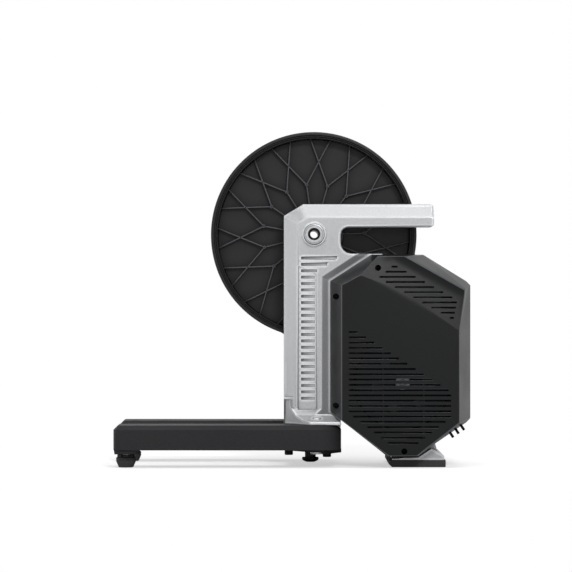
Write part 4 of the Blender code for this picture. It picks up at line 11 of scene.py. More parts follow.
import bmesh
import bpy
from bpy.props import FloatProperty, FloatVectorProperty, IntProperty, PointerProperty
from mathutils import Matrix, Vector

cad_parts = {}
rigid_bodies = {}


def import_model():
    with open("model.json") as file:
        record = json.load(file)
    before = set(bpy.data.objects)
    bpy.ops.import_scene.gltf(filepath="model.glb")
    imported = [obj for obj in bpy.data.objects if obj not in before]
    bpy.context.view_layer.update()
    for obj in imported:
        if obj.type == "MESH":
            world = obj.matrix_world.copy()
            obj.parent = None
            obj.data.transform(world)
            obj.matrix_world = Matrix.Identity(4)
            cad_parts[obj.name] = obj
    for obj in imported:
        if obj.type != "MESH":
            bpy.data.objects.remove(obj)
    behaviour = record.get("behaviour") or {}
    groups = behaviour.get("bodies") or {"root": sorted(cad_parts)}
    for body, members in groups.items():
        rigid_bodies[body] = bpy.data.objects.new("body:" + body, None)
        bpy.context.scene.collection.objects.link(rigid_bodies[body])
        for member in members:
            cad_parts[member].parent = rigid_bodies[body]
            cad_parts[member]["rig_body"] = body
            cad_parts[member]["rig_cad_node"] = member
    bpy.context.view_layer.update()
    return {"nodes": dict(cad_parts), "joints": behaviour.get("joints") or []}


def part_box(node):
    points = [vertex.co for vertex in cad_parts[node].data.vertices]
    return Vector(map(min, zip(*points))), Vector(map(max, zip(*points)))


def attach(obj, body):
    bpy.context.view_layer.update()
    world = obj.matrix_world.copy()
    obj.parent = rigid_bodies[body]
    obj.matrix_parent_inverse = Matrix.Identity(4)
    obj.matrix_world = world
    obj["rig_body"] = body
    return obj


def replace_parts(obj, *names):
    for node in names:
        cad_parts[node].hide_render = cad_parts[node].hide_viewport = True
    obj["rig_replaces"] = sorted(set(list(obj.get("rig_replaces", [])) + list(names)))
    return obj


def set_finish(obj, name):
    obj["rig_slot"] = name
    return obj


bl_info = {
    "name": "Bike Trainer Visual Model",
    "version": (1, 0, 0),
    "blender": (4, 5, 0),
    "location": "View3D > Sidebar > Bike Trainer",
    "description": "Dresses the packed frame of a folding bike trainer with finished pieces",
    "category": "Object",
}

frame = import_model()
NODES = frame["nodes"]
JOINTS = {joint["name"]: Vector(joint["pos_m"]) for joint in frame["joints"]}
AXLE = JOINTS["wheel_spin"]
ROTOR = JOINTS["flywheel_spin"]
ROLLER = JOINTS["roller_spin"]
ALONG = {"Y": Vector((0.0, 1.0, 0.0)), "Z": Vector((0.0, 0.0, 1.0))}
TILT = {"Y": (math.pi / 2, 0.0, 0.0), "Z": (0.0, 0.0, 0.0)}
# The eight sides of the housing's outline: the way each one faces and how far out it lies.
HOUSING_SIDES = (
    ((-1.0, 0.0, 0.0), -0.0560),
    ((-0.543, 0.0, 0.840), 0.1985),
    ((0.0, 0.0, 1.0), 0.3095),
    ((0.523, 0.0, 0.852), 0.3635),
    ((1.0, 0.0, 0.0), 0.2535),
    ((0.634, 0.0, -0.773), 0.1045),
    ((0.0, 0.0, -1.0), -0.0170),
    ((-0.6255, 0.0, -0.780), -0.0965),
)
# The Y stations between which the casting lies inside the housing.
HOUSING_SEAT, HOUSING_BACK = -0.0545, -0.0118
# What share of the housing's broadest rounding its creases take.
BROAD, MIDDLE, FINE = 1.0, 0.40, 0.12
# How far a wheel rib's top and its floor lie behind the wheel's near face.
RIB_TOP, RIB_FLOOR = 0.014, 0.023
# Corners nearer to each other than this become one.
MERGE = 2e-6
# How many rays test how open the space round a point is.
SKY_SAMPLES = 12
WHITE = (1.0, 1.0, 1.0, 1.0)
# The grained finishes: colour (a colour property's name, or a code), the darker tone's share
# of it, size of the grain, depth of its bump, roughness, how far the roughness wanders,
# specular level and how metallic. Lengths are in metres.
GRAINED = {
    # Cast aluminium, powder coated with metal flake: soft sheen and a sandy sparkle. The
    # flake is some 0.1 mm; it is drawn at 1.1 mm, so that it shows in the render.
    "powder_coated_cast_aluminium": ("silver", 0.80, 0.0011, 0.00014, 0.40, 0.04, 0.4, 0.30),
    # Injection moulded ABS off a spark eroded tool: even, matt, with a dull highlight. The
    # 0.3 mm texture is drawn at 0.9 mm.
    "moulded_abs": ("shell", 0.75, 0.0009, 0.00010, 0.34, 0.04, 0.14, 0.0),
    # The same moulding on the housing's rounded creases, finer in texture; its pale colour is a
    # painted highlight.
    "moulded_abs_rubbed_crease": ("#626466", 0.85, 0.0009, 0.00005, 0.34, 0.04, 0.14, 0.0),
    # Pressed steel under matt baked paint, with faint orange peel.
    "baked_paint_on_steel": ("leg", 0.85, 0.0022, 0.00005, 0.60, 0.04, 0.16, 0.0),
    # Glass filled nylon: dark grey, mottled by its fibres.
    "glass_filled_nylon": ("nylon", 0.80, 0.0016, 0.00006, 0.40, 0.06, 0.26, 0.0),
    # Moulded natural rubber: dead matt with a fine pore.
    "moulded_rubber": ("rubber", 0.75, 0.0008, 0.00010, 0.82, 0.05, 0.2, 0.0),
    # Steel screws blacked in hot oxide: deep grey metal with a satin skin.
    "black_oxide_steel": ("#131415", 0.70, 0.0006, 0.00004, 0.38, 0.06, 0.2, 0.3),
    # Cast iron left as cast and lacquered: rough, pitted, dull.
    "lacquered_cast_iron": ("#4a4f55", 0.75, 0.0012, 0.00012, 0.50, 0.08, 0.5, 0.6),
    # The brake's copper winding: orange metal under varnish.
    "varnished_copper": ("#c8763f", 0.60, 0.0009, 0.00020, 0.32, 0.06, 0.5, 0.9),
    # Smoked polycarbonate light pipe, sanded by its mould: matt, almost black when unlit.
    "smoked_polycarbonate": ("#060607", 0.90, 0.0015, 0.00001, 0.70, 0.03, 0.1, 0.0),
    # Glass fibre board under green solder mask: half gloss, with a faint weave.
    "solder_mask_on_board": ("#0d2c19", 0.55, 0.0018, 0.00008, 0.35, 0.05, 0.5, 0.0),
    # Zinc plated steel: pale grey, slightly cloudy.
    "zinc_plated_steel": ("steel", 0.82, 0.0030, 0.00002, 0.30, 0.06, 0.5, 1.0),
}
# The turned finishes: colour, point on the axis, distance of the rings in metres,
# roughness and how metallic.
TURNED = {
    # Aluminium faced on a lathe: bright, with rings 0.3 mm apart, drawn at 0.8 mm.
    "lathe_turned_aluminium": ("alloy", AXLE, 0.0008, 0.40, 1.0),
    "lathe_turned_pulley": ("alloy", ROTOR, 0.0008, 0.28, 1.0),
    # The boss round the axle is cut bright after coating; its near-white colour is partly that
    # bare metal and partly a painted highlight along the ring.
    "diamond_cut_aluminium": ("#f6f7f8", AXLE, 0.0008, 0.30, 0.3),
    # Ground steel: bright and smooth on the bearings and the freehub, dulled to grey by
    # brake dust on the rotor's shaft.
    "ground_bearing_steel": ("steel", AXLE, 0.0006, 0.22, 1.0),
    "ground_shaft_steel": ("#6f7174", ROTOR, 0.0006, 0.45, 1.0),
    # Phosphated iron, turned on its rim and face: bluish black with visible rings.
    "phosphated_flywheel_iron": ("iron", ROTOR, 0.0022, 0.40, 1.0),
}
# Which nodes take which finish, by the start of their names; the flywheel comes last,
# because other names begin with it.
FINISHES = {
    "powder_coated_cast_aluminium": ("main_frame", "left_pivot_pin", "right_pivot_pin"),
    "moulded_abs": ("flywheel_cover", "drive_side_guard", "power_inlet"),
    "black_oxide_steel": (
        "cover_screw",
        "guard_screw",
        "hub_bolt",
        "plate_bolt",
        "tensioner_bolt",
        "axle_lock_nut",
        "hollow_axle",
    ),
    "lathe_turned_aluminium": ("axle_end_cap", "drive_hub"),
    "lathe_turned_pulley": ("small_pulley",),
    "glass_filled_nylon": (
        "drive_wheel",
        "tensioner_roller",
        "left_foot_ring",
        "right_foot_ring",
        "centre_foot_knob",
    ),
    "moulded_rubber": ("left_foot_cup", "right_foot_cup", "rear_foot_pad", "belt"),
    "ground_shaft_steel": ("flywheel_shaft", "flywheel_bearing"),
    "ground_bearing_steel": ("wheel_bearing", "freehub_body"),
    "lacquered_cast_iron": ("brake_core",),
    "varnished_copper": ("brake_coil",),
    "baked_paint_on_steel": ("left_leg", "right_leg", "hinge_plate"),
    "solder_mask_on_board": ("control_board",),
    "smoked_polycarbonate": ("status_light",),
    "phosphated_flywheel_iron": ("flywheel",),
}


def linear(code):
    """Turn an sRGB hex colour into linear red, green, blue and alpha."""
    parts = [int(code[i : i + 2], 16) / 255 for i in (1, 3, 5)]
    curve = [p / 12.92 if p <= 0.04045 else ((p + 0.055) / 1.055) ** 2.4 for p in parts]
    return (*curve, 1.0)


def colour_property(name, description, code):
    """Declare one colour that a user can change."""
    return FloatVectorProperty(
        name=name,
        description=description,
        size=4,
        subtype="COLOR",
        min=0.0,
        max=1.0,
        default=linear(code),
    )


def length_property(name, description, default, low, high):
    """Declare one length in metres that a user can change."""
    return FloatProperty(
        name=name, description=description, default=default, min=low, max=high, unit="LENGTH"
    )


class TrainerSizes(bpy.types.PropertyGroup):
    crease_radius: length_property(
        "Crease Radius", "Rounding along the casting's long creases", 0.0014, 0.0002, 0.002
    )
    fine_radius: length_property(
        "Fine Edge Radius", "Rounding of small edges", 0.0004, 0.0001, 0.001
    )
    housing_crease: length_property(
        "Housing Crease Radius", "Rounding of the housing's broadest crease", 0.003, 0.001, 0.004
    )
    thread_pitch: length_property(
        "Thread Pitch", "Distance between the grooves of the feet's studs", 0.0015, 0.001, 0.002
    )
    rib_width: length_property(
        "Wheel Rib Width", "Thickness of the wheel's ribs along their tops", 0.0019, 0.0012, 0.003
    )
    round_steps: IntProperty(
        name="Steps in a Large Round",
        description="Straight sides that draw the drive wheel's circle",
        default=180,
        min=60,
        max=240,
    )


class TrainerColours(bpy.types.PropertyGroup):
    silver: colour_property("Silver Coat", "Powder coat of the casting", "#c6c7c9")
    shell: colour_property("Housing Shell", "Moulded cover of the flywheel housing", "#1d1e1f")
    leg: colour_property("Leg Paint", "Paint of the legs and the hinge plate", "#2e2e30")
    nylon: colour_property("Wheel Nylon", "Glass filled nylon of the drive wheel", "#202022")
    rubber: colour_property("Rubber", "Feet, sole pad and belt", "#505051")
    alloy: colour_property("Machined Alloy", "End caps, hub and pulley", "#b2b4b6")
    steel: colour_property("Ground Steel", "Axle, shafts, studs and bearings", "#c4c6c9")
    iron: colour_property("Flywheel Iron", "Phosphated iron of the flywheel", "#121417")


def active():
    """Return the active object."""
    return bpy.context.view_layer.objects.active


def leave():
    """Go back to object mode."""
    if bpy.context.mode != "OBJECT":
        bpy.ops.object.mode_set(mode="OBJECT")


def deselect():
    """Leave nothing selected, in object mode."""
    leave()
    bpy.ops.object.select_all(action="DESELECT")


def pick(*pieces):
    """Select these objects only, with the last one active."""
    deselect()
    for piece in pieces:
        piece.select_set(True)
        bpy.context.view_layer.objects.active = piece


def edit(piece, kind="EDGE"):
    """Open a piece in edit mode with everything selected."""
    pick(piece)
    bpy.ops.object.mode_set(mode="EDIT")
    bpy.ops.mesh.select_mode(type=kind)
    bpy.ops.mesh.select_all(action="SELECT")


def apply_place():
    """Apply the place, turn and size of what is selected."""
    bpy.ops.object.transform_apply(location=True, rotation=True, scale=True)


def join(*pieces):
    """Join pieces into the last one and open it in edit mode."""
    pick(*pieces)
    bpy.ops.object.join()
    edit(pieces[-1])


def duplicate(source, name, *marks):
    """Copy an object without some of its marks, and open the copy in edit mode."""
    pick(source)
    bpy.ops.object.duplicate()
    piece = active()
    piece.name = name
    for mark in marks:
        del piece[mark]
    edit(piece)
    return piece


def choose(test, kind="edges"):
    """In edit mode, select only the edges or faces that pass a test."""
    mesh = bmesh.from_edit_mesh(bpy.context.edit_object.data)
    bpy.ops.mesh.select_all(action="DESELECT")
    chosen = 0
    for part in getattr(mesh, kind):
        if test(part):
            part.select_set(True)
            chosen += 1
    bmesh.update_edit_mesh(bpy.context.edit_object.data)
    return chosen


def close_up(name, smooth=35.0):
    """Merge doubles, turn faces outwards, leave edit mode, apply the place and name the piece."""
    bpy.ops.mesh.select_all(action="SELECT")
    bpy.ops.mesh.remove_doubles(threshold=MERGE)
    bpy.ops.mesh.normals_make_consistent(inside=False)
    leave()
    apply_place()
    piece = active()
    piece.name = name
    piece.data.name = name
    bpy.ops.object.shade_smooth_by_angle(angle=math.radians(smooth))
    bpy.ops.object.modifier_add(type="WEIGHTED_NORMAL")
    level = piece.modifiers[-1]
    level.keep_sharp = True
    bpy.ops.object.modifier_apply(modifier=level.name)
    return piece


def turn(name, profile, centre, axis="Y", steps=64, hollow=False):
    """Turn a (radius, station) profile: a circle extruded and resized ring by ring.

    A hollow profile runs round the wall and back to its first point. A solid one starts
    and ends on a flat disc.
    """
    along = ALONG[axis]
    radius, station = profile[0]
    deselect()
    bpy.ops.mesh.primitive_circle_add(
        vertices=steps,
        radius=radius,
        fill_type="NOTHING" if hollow else "NGON",
        location=centre + along * station,
        rotation=TILT[axis],
    )
    edit(active())
    for next_radius, next_station in [*profile[1:], *(profile[:1] if hollow else ())]:
        bpy.ops.mesh.extrude_region()
        bpy.ops.transform.translate(value=along * (next_station - station))
        share = next_radius / radius
        place = centre + along * next_station
        bpy.ops.transform.resize(value=(share, share, share), center_override=place)
        radius, station = next_radius, next_station
    return close_up(name)


def about(radius, station, *steps):
    """Return profile points by their steps from one radius and station."""
    return [(radius + out, station + along) for out, along in steps]


def mirrored(near, far, side):
    """Return a profile that runs along its near side and back along the same far side."""
    ahead = [(radius, near + depth) for radius, depth in side]
    return ahead + [(radius, far - depth) for radius, depth in reversed(side)]


def dress(piece, body, slot, material, *nodes):
    """Give a piece its finish, its body, its material slot and the CAD nodes it stands for."""
    slots = piece.data.materials
    if slots:
        slots[0] = bpy.data.materials[material]
    else:
        slots.append(bpy.data.materials[material])
    if nodes:
        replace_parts(piece, *nodes)
    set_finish(piece, slot)
    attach(piece, body)


def copy_node(node, name):
    """Copy a CAD node and merge its loose triangles into flat faces, left in edit mode."""
    piece = duplicate(NODES[node], name, "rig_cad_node", "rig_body")
    bpy.ops.mesh.remove_doubles(threshold=MERGE)
    bpy.ops.mesh.dissolve_limited(angle_limit=math.radians(0.6))
    return piece


def sharp(edge, degrees):
    """Tell whether two faces meet at an edge by more than an angle."""
    return len(edge.link_faces) == 2 and edge.calc_face_angle(0.0) > math.radians(degrees)


def soften(test, width, segments):
    """In edit mode, bevel the edges that pass a test."""
    if choose(test):
        bpy.ops.mesh.bevel(
            offset=width,
            segments=segments,
            affect="EDGES",
            clamp_overlap=False,
            miter_outer="SHARP",
        )


def stand_in(piece, node):
    """Dress a piece as the one CAD node that it stands for, with that node's body and finish."""
    dress(piece, NODES[node]["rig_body"], node, finish_of(node), node)


def rounded_node(node, name, width, degrees=30.0, shortest=0.0, segments=2, smooth=40.0):
    """Stand a copy of a CAD node with its sharp edges rounded in for that node."""
    copy_node(node, name)
    soften(lambda edge: sharp(edge, degrees) and edge.calc_length() > shortest, width, segments)
    stand_in(close_up(name, smooth), node)


def turned_node(node, name, profile, centre, axis="Y", steps=64, hollow=True):
    """Stand a turned piece in for one round CAD node."""
    stand_in(turn(name, profile, centre, axis, steps, hollow), node)


def ends(node, axis="Y"):
    """Return the two stations along an axis between which a CAD node lies."""
    return [ALONG[axis].dot(corner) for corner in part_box(node)]


def half_width(node, across="x"):
    """Return half of a CAD node's width, which is the outer radius of a round one."""
    low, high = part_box(node)
    return (getattr(high, across) - getattr(low, across)) / 2


def axis_through(node, axis="Z"):
    """Return the point at station 0 on the axis through the middle of a CAD node's box."""
    low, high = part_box(node)
    middle = (low + high) / 2
    return middle - ALONG[axis] * ALONG[axis].dot(middle)


def corners_round(node, centre, axis="Y"):
    """Return how far a CAD node's corners lie from an axis, and their stations along it."""
    along = ALONG[axis]
    offsets = [corner.co - centre for corner in NODES[node].data.vertices]
    radii = [(offset - along * along.dot(offset)).length for offset in offsets]
    return radii, [along.dot(offset) for offset in offsets]


def reach(node, centre, axis="Y"):
    """Return how near to an axis and how far from it a CAD node's corners lie."""
    radii = corners_round(node, centre, axis)[0]
    return min(radii), max(radii)


def add(tree, kind, settings=None):
    """Add a shader node with its settings; one that is a socket is linked."""
    made = tree.nodes.new("ShaderNode" + kind)
    for key, value in (settings or {}).items():
        if isinstance(value, bpy.types.NodeSocket):
            tree.links.new(value, made.inputs[key])
        elif isinstance(key, str) and hasattr(made, key):
            setattr(made, key, value)
        else:
            made.inputs[key].default_value = value
    return made


def bare_tree(holder):
    """Switch on the nodes of a material or a world and clear them away."""
    holder.use_nodes = True
    holder.node_tree.nodes.clear()
    return holder.node_tree


def new_finish(name, settings):
    """Start a material with an output and a principled shader."""
    tree = bare_tree(bpy.data.materials.new(name))
    shader = add(tree, "BsdfPrincipled", settings)
    add(tree, "OutputMaterial", {"Surface": shader.outputs["BSDF"]})
    return tree, shader


def mottle(tree, shader, noise, levels, colour, shift):
    """Mottle a finish's colour: shifted darker below one level of a noise, whole above another."""
    texture = add(tree, "TexNoise", noise)
    tones = add(tree, "ValToRGB", {"Fac": texture.outputs["Fac"]})
    for stop, level, share in zip(tones.color_ramp.elements, levels, (shift, 1.0)):
        stop.position = level
        stop.color = (*[channel * share for channel in colour[:3]], 1.0)
    tree.links.new(tones.outputs["Color"], shader.inputs["Base Color"])
    return texture


def surface(tree, shader, gloss, levels, rough, relief, strength, depth):
    """Let a finish's roughness follow one pattern, and the relief of its surface another."""
    wander = {"From Min": levels[0], "From Max": levels[1], "To Min": rough[0], "To Max": rough[1]}
    uneven = add(tree, "MapRange", {**wander, "Value": gloss})
    tree.links.new(uneven.outputs["Result"], shader.inputs["Roughness"])
    bump = add(tree, "Bump", {"Strength": strength, "Distance": depth, "Height": relief})
    tree.links.new(bump.outputs["Normal"], shader.inputs["Normal"])


def grained(name, colour, shift, grain, depth, rough, spread, specular, metallic):
    """Build a finish with a fine grain: two tones, bump and uneven gloss from noise."""
    tree, shader = new_finish(name, {"Specular IOR Level": specular, "Metallic": metallic})
    place = add(tree, "TexCoord").outputs["Object"]
    sand = {"Scale": 1.0 / grain, "Detail": 2.0, "Roughness": 0.6, "Vector": place}
    fine = mottle(tree, shader, sand, (0.32, 0.62), colour, shift).outputs["Fac"]
    cloud = {"Scale": 14.0, "Detail": 3.0, "Roughness": 0.5, "Vector": place}
    broad = add(tree, "TexNoise", cloud).outputs["Fac"]
    span = (rough - spread, rough + spread)
    surface(tree, shader, broad, (0.3, 0.7), span, fine, 0.35, depth)
    return tree, shader


def turned_metal(name, colour, centre, pitch, rough, metallic):
    """Build a lathe-turned metal: fine rings about an axis along Y, with a little uneven gloss."""
    tree, shader = new_finish(name, {"Metallic": metallic})
    place = add(tree, "TexCoord").outputs["Object"]
    centred = add(tree, "Mapping", {"Location": -centre, "Vector": place}).outputs["Vector"]
    flat = add(tree, "VectorMath", {"operation": "MULTIPLY", 0: centred, 1: (1.0, 0.0, 1.0)})
    radius = add(tree, "VectorMath", {"operation": "LENGTH", 0: flat.outputs["Vector"]})
    turns = {"operation": "MULTIPLY", 0: radius.outputs["Value"], 1: math.tau / pitch}
    turns = add(tree, "Math", turns).outputs["Value"]
    wave = add(tree, "Math", {"operation": "SINE", 0: turns}).outputs["Value"]
    cloud = {"Scale": 220.0, "Detail": 3.0, "Vector": place}
    mottle(tree, shader, cloud, (0.3, 0.7), colour, 0.82)
    span = (rough * 0.8, rough * 1.2)
    surface(tree, shader, wave, (-1.0, 1.0), span, wave, 0.15, 0.00006)


def shade_by(tree, shader, value, low, high, share, spared=None):
    """Multiply a finish's colour by a share where a value is low, and by 1 where it is high.

    A spared socket is 1 where the colour stays whole.
    """
    ramp = {"From Min": low, "From Max": high, "To Min": share, "To Max": 1.0, "Value": value}
    weight = add(tree, "MapRange", ramp).outputs["Result"]
    if spared:
        weight = add(tree, "Math", {"operation": "MAXIMUM", 0: weight, 1: spared}).outputs[0]
    base = shader.inputs["Base Color"]
    shaded = {"operation": "SCALE", 0: base.links[0].from_socket, "Scale": weight}
    tree.links.new(add(tree, "VectorMath", shaded).outputs["Vector"], base)


def paint_corner_shade(tree, shader, distance, closed, clear, darkest, spared=None):
    """Darken a finish where the walls round a point close in: painted shade, where little light
    reaches.

    The colour falls to its darkest share where only the closed share of the sky is open
    within the distance, and is whole again where the clear share is.
    """
    sky = {"Distance": distance, "only_local": spared is None, "samples": SKY_SAMPLES}
    sky = add(tree, "AmbientOcclusion", sky).outputs["AO"]
    shade_by(tree, shader, sky, closed, clear, darkest, spared)


def paint_crease_highlight(tree, shader, distance, gain):
    """Lighten a finish along its outer creases: a painted highlight, where the edge would catch
    the light.
    """
    inside = {"Distance": distance, "only_local": True, "samples": SKY_SAMPLES, "inside": True}
    inside = add(tree, "AmbientOcclusion", inside).outputs["AO"]
    shade_by(tree, shader, inside, 0.86, 0.965, 1.0 + gain)


def station_of(tree):
    """Return a socket that is the Y station of the point being shaded."""
    place = add(tree, "TexCoord").outputs["Object"]
    return add(tree, "SeparateXYZ", {0: place}).outputs["Y"]


def off_plane(tree, station):
    """Return a socket that tells how far a point lies from the plane at a Y station."""
    past = add(tree, "Math", {"operation": "SUBTRACT", 0: station_of(tree), 1: station})
    return add(tree, "Math", {"operation": "ABSOLUTE", 0: past.outputs[0]}).outputs[0]


def outside_housing(tree):
    """Return a socket that is 1 at points outside the housing and 0 inside it."""
    off_middle = off_plane(tree, (HOUSING_SEAT + HOUSING_BACK) / 2)
    beyond = {"operation": "GREATER_THAN", 0: off_middle, 1: (HOUSING_BACK - HOUSING_SEAT) / 2}
    outside = add(tree, "Math", beyond).outputs[0]
    place = add(tree, "TexCoord").outputs["Object"]
    for direction, limit in HOUSING_SIDES:
        across = add(tree, "VectorMath", {"operation": "DOT_PRODUCT", 0: place, 1: direction})
        beyond = {"operation": "GREATER_THAN", 0: across.outputs["Value"], 1: limit}
        beyond = add(tree, "Math", beyond).outputs[0]
        outside = add(tree, "Math", {"operation": "MAXIMUM", 0: outside, 1: beyond}).outputs[0]
    return outside


class TRAINER_OT_finishes(bpy.types.Operator):
    """Make every finish and give each carried-over node its own"""

    bl_idname = "trainer.finishes"
    bl_label = "Finishes"

    def execute(self, context):
        colours = context.scene.trainer_colours

        def tint(code):
            return linear(code) if code.startswith("#") else getattr(colours, code)

        made = {name: grained(name, tint(row[0]), *row[1:]) for name, row in GRAINED.items()}
        for name, row in TURNED.items():
            turned_metal(name, tint(row[0]), *row[1:])
        # Along the casting's creases the coat is lightened: a painted highlight. Inside the
        # housing the casting is darkened almost to black, and less so in its corners and louvres
        # outside: painted shade.
        coat = made["powder_coated_cast_aluminium"]
        paint_crease_highlight(*coat, distance=0.0040, gain=0.45)
        outside = outside_housing(coat[0])
        paint_corner_shade(*coat, distance=0.12, closed=0.22, clear=0.42, darkest=0.02, spared=outside)
        paint_corner_shade(*coat, distance=0.005, closed=0.35, clear=0.88, darkest=0.30)
        # Painted shade darkens the corners between the wheel's ribs against the open panels,
        # and a painted highlight makes the rib tops the palest.
        nylon = made["glass_filled_nylon"]
        paint_corner_shade(*nylon, distance=0.014, closed=0.50, clear=0.97, darkest=0.05)
        off_highlit_tops = off_plane(nylon[0], ends("drive_wheel")[0] + RIB_TOP)
        shade_by(*nylon, off_highlit_tops, low=0.0010, high=0.0040, share=6.0)
        # The board carries dark components on its near side: whatever rises off the board's
        # face is moulded epoxy, not mask.
        tree, shader = made["solder_mask_on_board"]
        board_depth = 0.0018
        face = ends("control_board")[1] - board_depth
        raised = add(tree, "Math", {"operation": "LESS_THAN", 0: station_of(tree), 1: face})
        base = shader.inputs["Base Color"]
        tones = {"Color1": base.links[0].from_socket, "Color2": linear("#1d1d1f")}
        parts = add(tree, "MixRGB", {"Fac": raised.outputs[0], **tones})
        tree.links.new(parts.outputs["Color"], base)
        for name, node in NODES.items():
            node.data.materials.clear()
            node.data.materials.append(bpy.data.materials[finish_of(name)])
        return {"FINISHED"}


def finish_of(node):
    """Return the name of the finish that a CAD node takes."""
    for finish, starts in FINISHES.items():
        if node.startswith(starts):
            return finish
    return "zinc_plated_steel"


class TRAINER_OT_casting(bpy.types.Operator):
    """Round the long creases of the silver main casting and keep its louvres' edges sharp"""

    bl_idname = "trainer.casting"
    bl_label = "Main Casting"

    def execute(self, context):
        sizes = context.scene.trainer_sizes
        copy_node("main_frame", "main_casting")
        long_edge, sole, crease = 0.030, 0.0125, 12.0

        def on_crease(edge):
            above_sole = min(corner.co.z for corner in edge.verts) > sole
            return above_sole and sharp(edge, crease) and edge.calc_length() > long_edge

        soften(on_crease, sizes.crease_radius, 4)
        louvre_box = ((0.010, 0.068), (-0.0619, -0.0540), (0.090, 0.312))

        def in_louvres(edge):
            return sharp(edge, 1.0) and all(
                low < station < high
                for corner in edge.verts
                for station, (low, high) in zip(corner.co, louvre_box)
            )

        choose(in_louvres)
        bpy.ops.mesh.mark_sharp()
        stand_in(close_up("main_casting", 24.0), "main_frame")
        return {"FINISHED"}


def crease_share(edge):
    """Say what share of the housing's broadest rounding one of its edges takes."""
    first, last = (corner.co for corner in edge.verts)
    run = last - first
    length = run.length
    lowest, highest = min(first.y, last.y), max(first.y, last.y)
    rim, inner_rib, face, rear, crest_foot = -0.0560, -0.1120, -0.1000, 0.239, 0.255
    fold_slope, fold_top, slot_foot = 0.563, 0.240, 0.020
    shortest, facet_edge, rear_edge, crest_edge = 0.012, 0.028, 0.040, 0.080
    inward = not sharp(edge, 8.0) or edge.calc_face_angle_signed(0.0) < 0.0
    screw_well = abs(run.y) > 0.95 * length
    on_fold = abs(run.z + fold_slope * run.x) < 0.05 * length
    fold = on_fold and min(first.z, last.z) < fold_top
    rib = inner_rib < lowest and highest < face and abs(run.z) > 0.99 * length
    if length < shortest or inward or screw_well or fold or rib or lowest > rim:
        return 0.0
    rear_side = min(first.x, last.x) > rear and length > rear_edge
    crest = min(first.z, last.z) > crest_foot and length > crest_edge
    if highest < face and (rear_side or crest):
        return BROAD
    slot_side = abs(run.z) < 0.02 * length and max(first.z, last.z) > slot_foot
    return MIDDLE if length > facet_edge and not slot_side else FINE


class TRAINER_OT_housing(bpy.types.Operator):
    """Round the creases of the housing cover by weight, and the edges of the drive side guard"""

    bl_idname = "trainer.housing"
    bl_label = "Housing Cover and Guard"

    def execute(self, context):
        sizes = context.scene.trainer_sizes
        piece = copy_node("flywheel_cover", "housing_cover")
        for share in (BROAD, MIDDLE, FINE):
            if choose(lambda edge, share=share: abs(crease_share(edge) - share) < 0.01):
                bpy.ops.transform.edge_bevelweight(value=share)
        leave()
        # The rounded creases take the pale finish: a painted highlight along them.
        piece.data.materials.append(bpy.data.materials["moulded_abs_rubbed_crease"])
        bpy.ops.object.modifier_add(type="BEVEL")
        rounding = piece.modifiers[-1]
        rounding.material = 1
        rounding.limit_method = "WEIGHT"
        rounding.width = sizes.housing_crease
        rounding.segments = 3
        rounding.use_clamp_overlap = False
        rounding.miter_outer = "MITER_SHARP"
        bpy.ops.object.modifier_apply(modifier=rounding.name)
        edit(piece)
        stand_in(close_up("housing_cover", 22.0), "flywheel_cover")
        guard_radius = sizes.fine_radius * 1.5
        rounded_node("drive_side_guard", "belt_guard", guard_radius, 8.0, 0.012, smooth=22.0)
        return {"FINISHED"}


def rib_bar(start, end, width, near, far):
    """Add one bar between two points of the wheel's web, narrower along its top."""
    middle = (start + end) / 2
    run = end - start
    angle = math.atan2(run.z, run.x)
    deselect()
    bpy.ops.mesh.primitive_cube_add(
        size=1.0,
        location=(middle.x, (near + far) / 2, middle.z),
        rotation=(0.0, -angle, 0.0),
        scale=(run.length, far - near, width),
    )
    edit(active(), "FACE")
    lowest = min(vertex.co.y for vertex in bpy.context.edit_object.data.vertices)
    choose(lambda face: all(abs(v.co.y - lowest) < 1e-6 for v in face.verts), "faces")
    bpy.ops.mesh.bevel(offset=width * 0.22, segments=2, affect="EDGES", clamp_overlap=False)
    leave()
    apply_place()
    return active()


